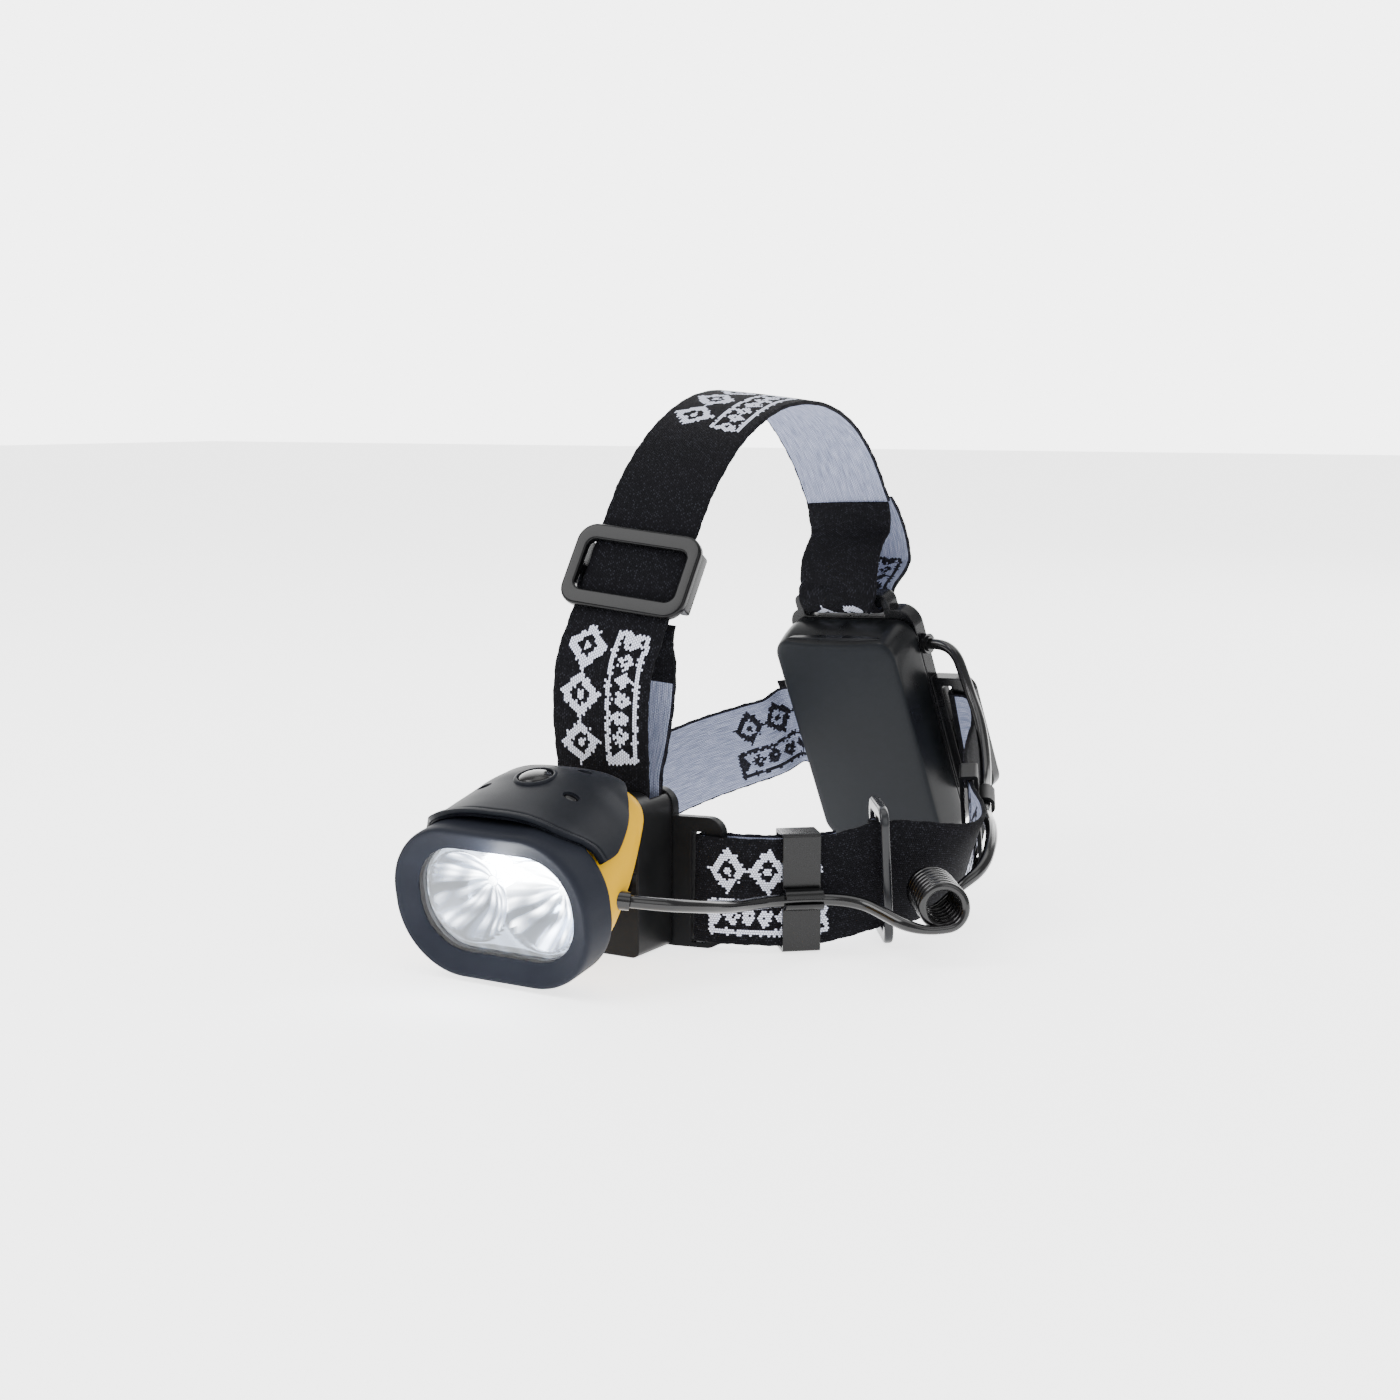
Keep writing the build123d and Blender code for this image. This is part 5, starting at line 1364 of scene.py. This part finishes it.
# open back: walls turned in, then an inner shell
lo_ring = be
ret = bmesh.ops.extrude_edge_only(bm, edges=be)
nv = [v for v in ret["geom"] if isinstance(v, bmesh.types.BMVert)]
for v in nv:
    v.co -= PDEP * 0.0100
be = [e for e in bm.edges if len(e.link_faces) == 1]
bmesh.ops.contextual_create(bm, geom=be)
bmesh.ops.recalc_face_normals(bm, faces=bm.faces[:])
bm.to_mesh(cov.data)
bm.free()
# hinge tongues and snap tongue at the cover's edges


def pfn(a, b, c):
    return M(P(a, c, b))


ton = []
HD, HZ = 14.6, 2.6
for x0, x1 in ((6, 12), (PWD - 12, PWD - 6)):
    ton.append(round_box("tongue", lambda a, b, c: M(P(a, c, b)), x0, x1, 11.2, HD, 0.6, HZ + 2.0, 0.5, [MAT["pack_side"]]))
    cyl = []
    for x in (x0, x0 + 0.3, x1 - 0.3, x1):
        r_ = 2.0 if x0 < x < x1 else 1.75
        cyl.append([M(P(x, HZ + r_ * math.sin(2 * math.pi * k / 28), HD + r_ * math.cos(2 * math.pi * k / 28))) for k in range(28)])
    ton.append(rings_mesh("tongue_eye", cyl, [MAT["pack_side"]], cap0=True, cap1=True))
ton.append(round_box("snap", lambda a, b, c: M(P(a, c, b)), PWD / 2 - 5, PWD / 2 + 5, 10.0, PDP + 1.2, PHT - 3.5, PHT - 1.95, 0.5, [MAT["pack_side"]]))
cov = join("pack_cover", [cov] + ton)
sharp(cov, 42)
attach(cov, "battery_cover")
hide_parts("battery_cover")


# ------------------------------------------------------------------ forehead pad
def pad_mesh():
    n_out = rr(32.6, 32.6, 6.0, 10, 8)
    rings = []
    for ins, y in ((1.2, 1.55), (0.2, 1.9), (0.0, 2.7), (0.1, 3.6), (0.7, 4.5), (1.9, 5.05), (3.6, 5.3), (6.0, 5.42), (9.0, 5.45), (12.0, 5.45), (14.5, 5.45)):
        s = (32.6 - 2 * ins) / 32.6
        row = []
        for x, z in n_out:
            xx, zz = x * s, z * s
            groove = 0.0
            if y > 4.6:
                g = math.exp(-((abs(zz) - 5.6) / 0.75) ** 2)
                groove = 0.75 * g
            dim = 0.10 * math.sin(xx * 0.9) * math.cos(zz * 0.8) if y > 5 else 0
            row.append(M((xx, y - groove + dim, 18.5 + zz)))
        rings.append(row)
    return rings_mesh("forehead_cushion", rings, [MAT["pad"]], cap0=True, cap1=True)


pad = pad_mesh()
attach(pad, "headband")
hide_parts("forehead_pad")

# ------------------------------------------------------------------ kept CAD nodes get their finishes
KEEP = {
    "lens_seal": "seal", "led_board": "board", "led_emitters": "led", "board_screws": "steel", "tact_switch": "clip", "switch_board": "board",
    "lamp_gland": "cord", "tilt_bracket": "bracket", "hinge_pin": "steel", "hinge_washers": "nylon", "base_plate": "plate", "bracket_screws": "steel",
    "cable_clip_front": "clip", "cable_clip_rear": "clip_dark", "pack_frame": "frame", "cover_hinge_pins": "steel", "battery_cells": "cell",
    "contact_plates": "brass", "contact_springs": "steel", "pack_gland": "cord",
}
for name, mat in KEEP.items():
    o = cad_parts[name]
    o = getattr(o, "object", o)
    o = bpy.data.objects[o] if isinstance(o, str) else o
    if not o.material_slots:
        continue
    for s in o.material_slots:
        s.material = MAT[mat]

# ------------------------------------------------------------------ floor, light
m, nt, b = new_mat("studio_floor")
tc = N(nt, "ShaderNodeTexCoord")
nt.links.new(ramp(nt, noise(nt, tc.outputs["Object"], 2.0, 2.0), [(0.3, (0.86, 0.86, 0.865)), (0.7, (0.89, 0.89, 0.89))]), b.inputs["Base Color"])
b.inputs["Roughness"].default_value = 0.8
b.inputs["Specular IOR Level"].default_value = 0.1
b.inputs["Emission Color"].default_value = (1.0, 1.0, 1.0, 1)
b.inputs["Emission Strength"].default_value = 2.3
fl = bmesh.new()
bmesh.ops.create_grid(fl, x_segments=4, y_segments=4, size=6.0)
fme = bpy.data.meshes.new("studio_floor")
fl.to_mesh(fme)
fl.free()
fme.materials.append(m)
floor = link(bpy.data.objects.new("studio_floor", fme))
floor.location = (0, 0, -0.0002)

w = bpy.data.worlds.new("studio")
bpy.context.scene.world = w
w.use_nodes = True
wn = w.node_tree
wn.nodes.clear()
wo = wn.nodes.new("ShaderNodeOutputWorld")
bg = wn.nodes.new("ShaderNodeBackground")
bg.inputs[0].default_value = (1.0, 1.0, 1.0, 1)
wtc = wn.nodes.new("ShaderNodeTexCoord")
wdot = wn.nodes.new("ShaderNodeVectorMath")
wdot.operation = "DOT_PRODUCT"
wdot.inputs[1].default_value = (-0.515, 0.857, 0.0)
wn.links.new(wtc.outputs["Generated"], wdot.inputs[0])
wmr = wn.nodes.new("ShaderNodeMapRange")
wmr.interpolation_type = "SMOOTHSTEP"
wmr.inputs["From Min"].default_value = 0.45
wmr.inputs["From Max"].default_value = 0.92
wmr.inputs["To Min"].default_value = 0.75
wmr.inputs["To Max"].default_value = 5.2
wn.links.new(wdot.outputs["Value"], wmr.inputs["Value"])
wn.links.new(wmr.outputs[0], bg.inputs[1])
wn.links.new(bg.outputs[0], wo.inputs[0])


def area(name, loc, target, size, power, color=(1, 1, 1), sy=None):
    d = bpy.data.lights.new(name, "AREA")
    d.energy = power
    d.color = color
    d.size = size
    if sy:
        d.shape = "RECTANGLE"
        d.size_y = sy
    o = link(bpy.data.objects.new(name, d))
    o.location = loc
    o.rotation_euler = (Vector(target) - Vector(loc)).to_track_quat("-Z", "Y").to_euler()
    return o


area("key", (-0.55, -0.75, 1.05), (0, 0, 0.06), 0.7, 12.0)
area("fill", (0.95, -0.65, 0.75), (0, 0, 0.06), 0.9, 6.0)
area("back", (0.2, 1.1, 0.9), (0, 0, 0.08), 0.8, 9.0)
area("top", (0.0, 0.0, 1.3), (0, 0, 0.05), 0.9, 6.0)

glow = bpy.data.lights.new("beam_spill", "POINT")
glow.energy = 0.030
glow.color = (0.92, 0.96, 1.0)
glow.shadow_soft_size = 0.004
go = link(bpy.data.objects.new("beam_spill", glow))
go.parent = lens
go.location = M(Lp(3.0, 0.2, 11.0))
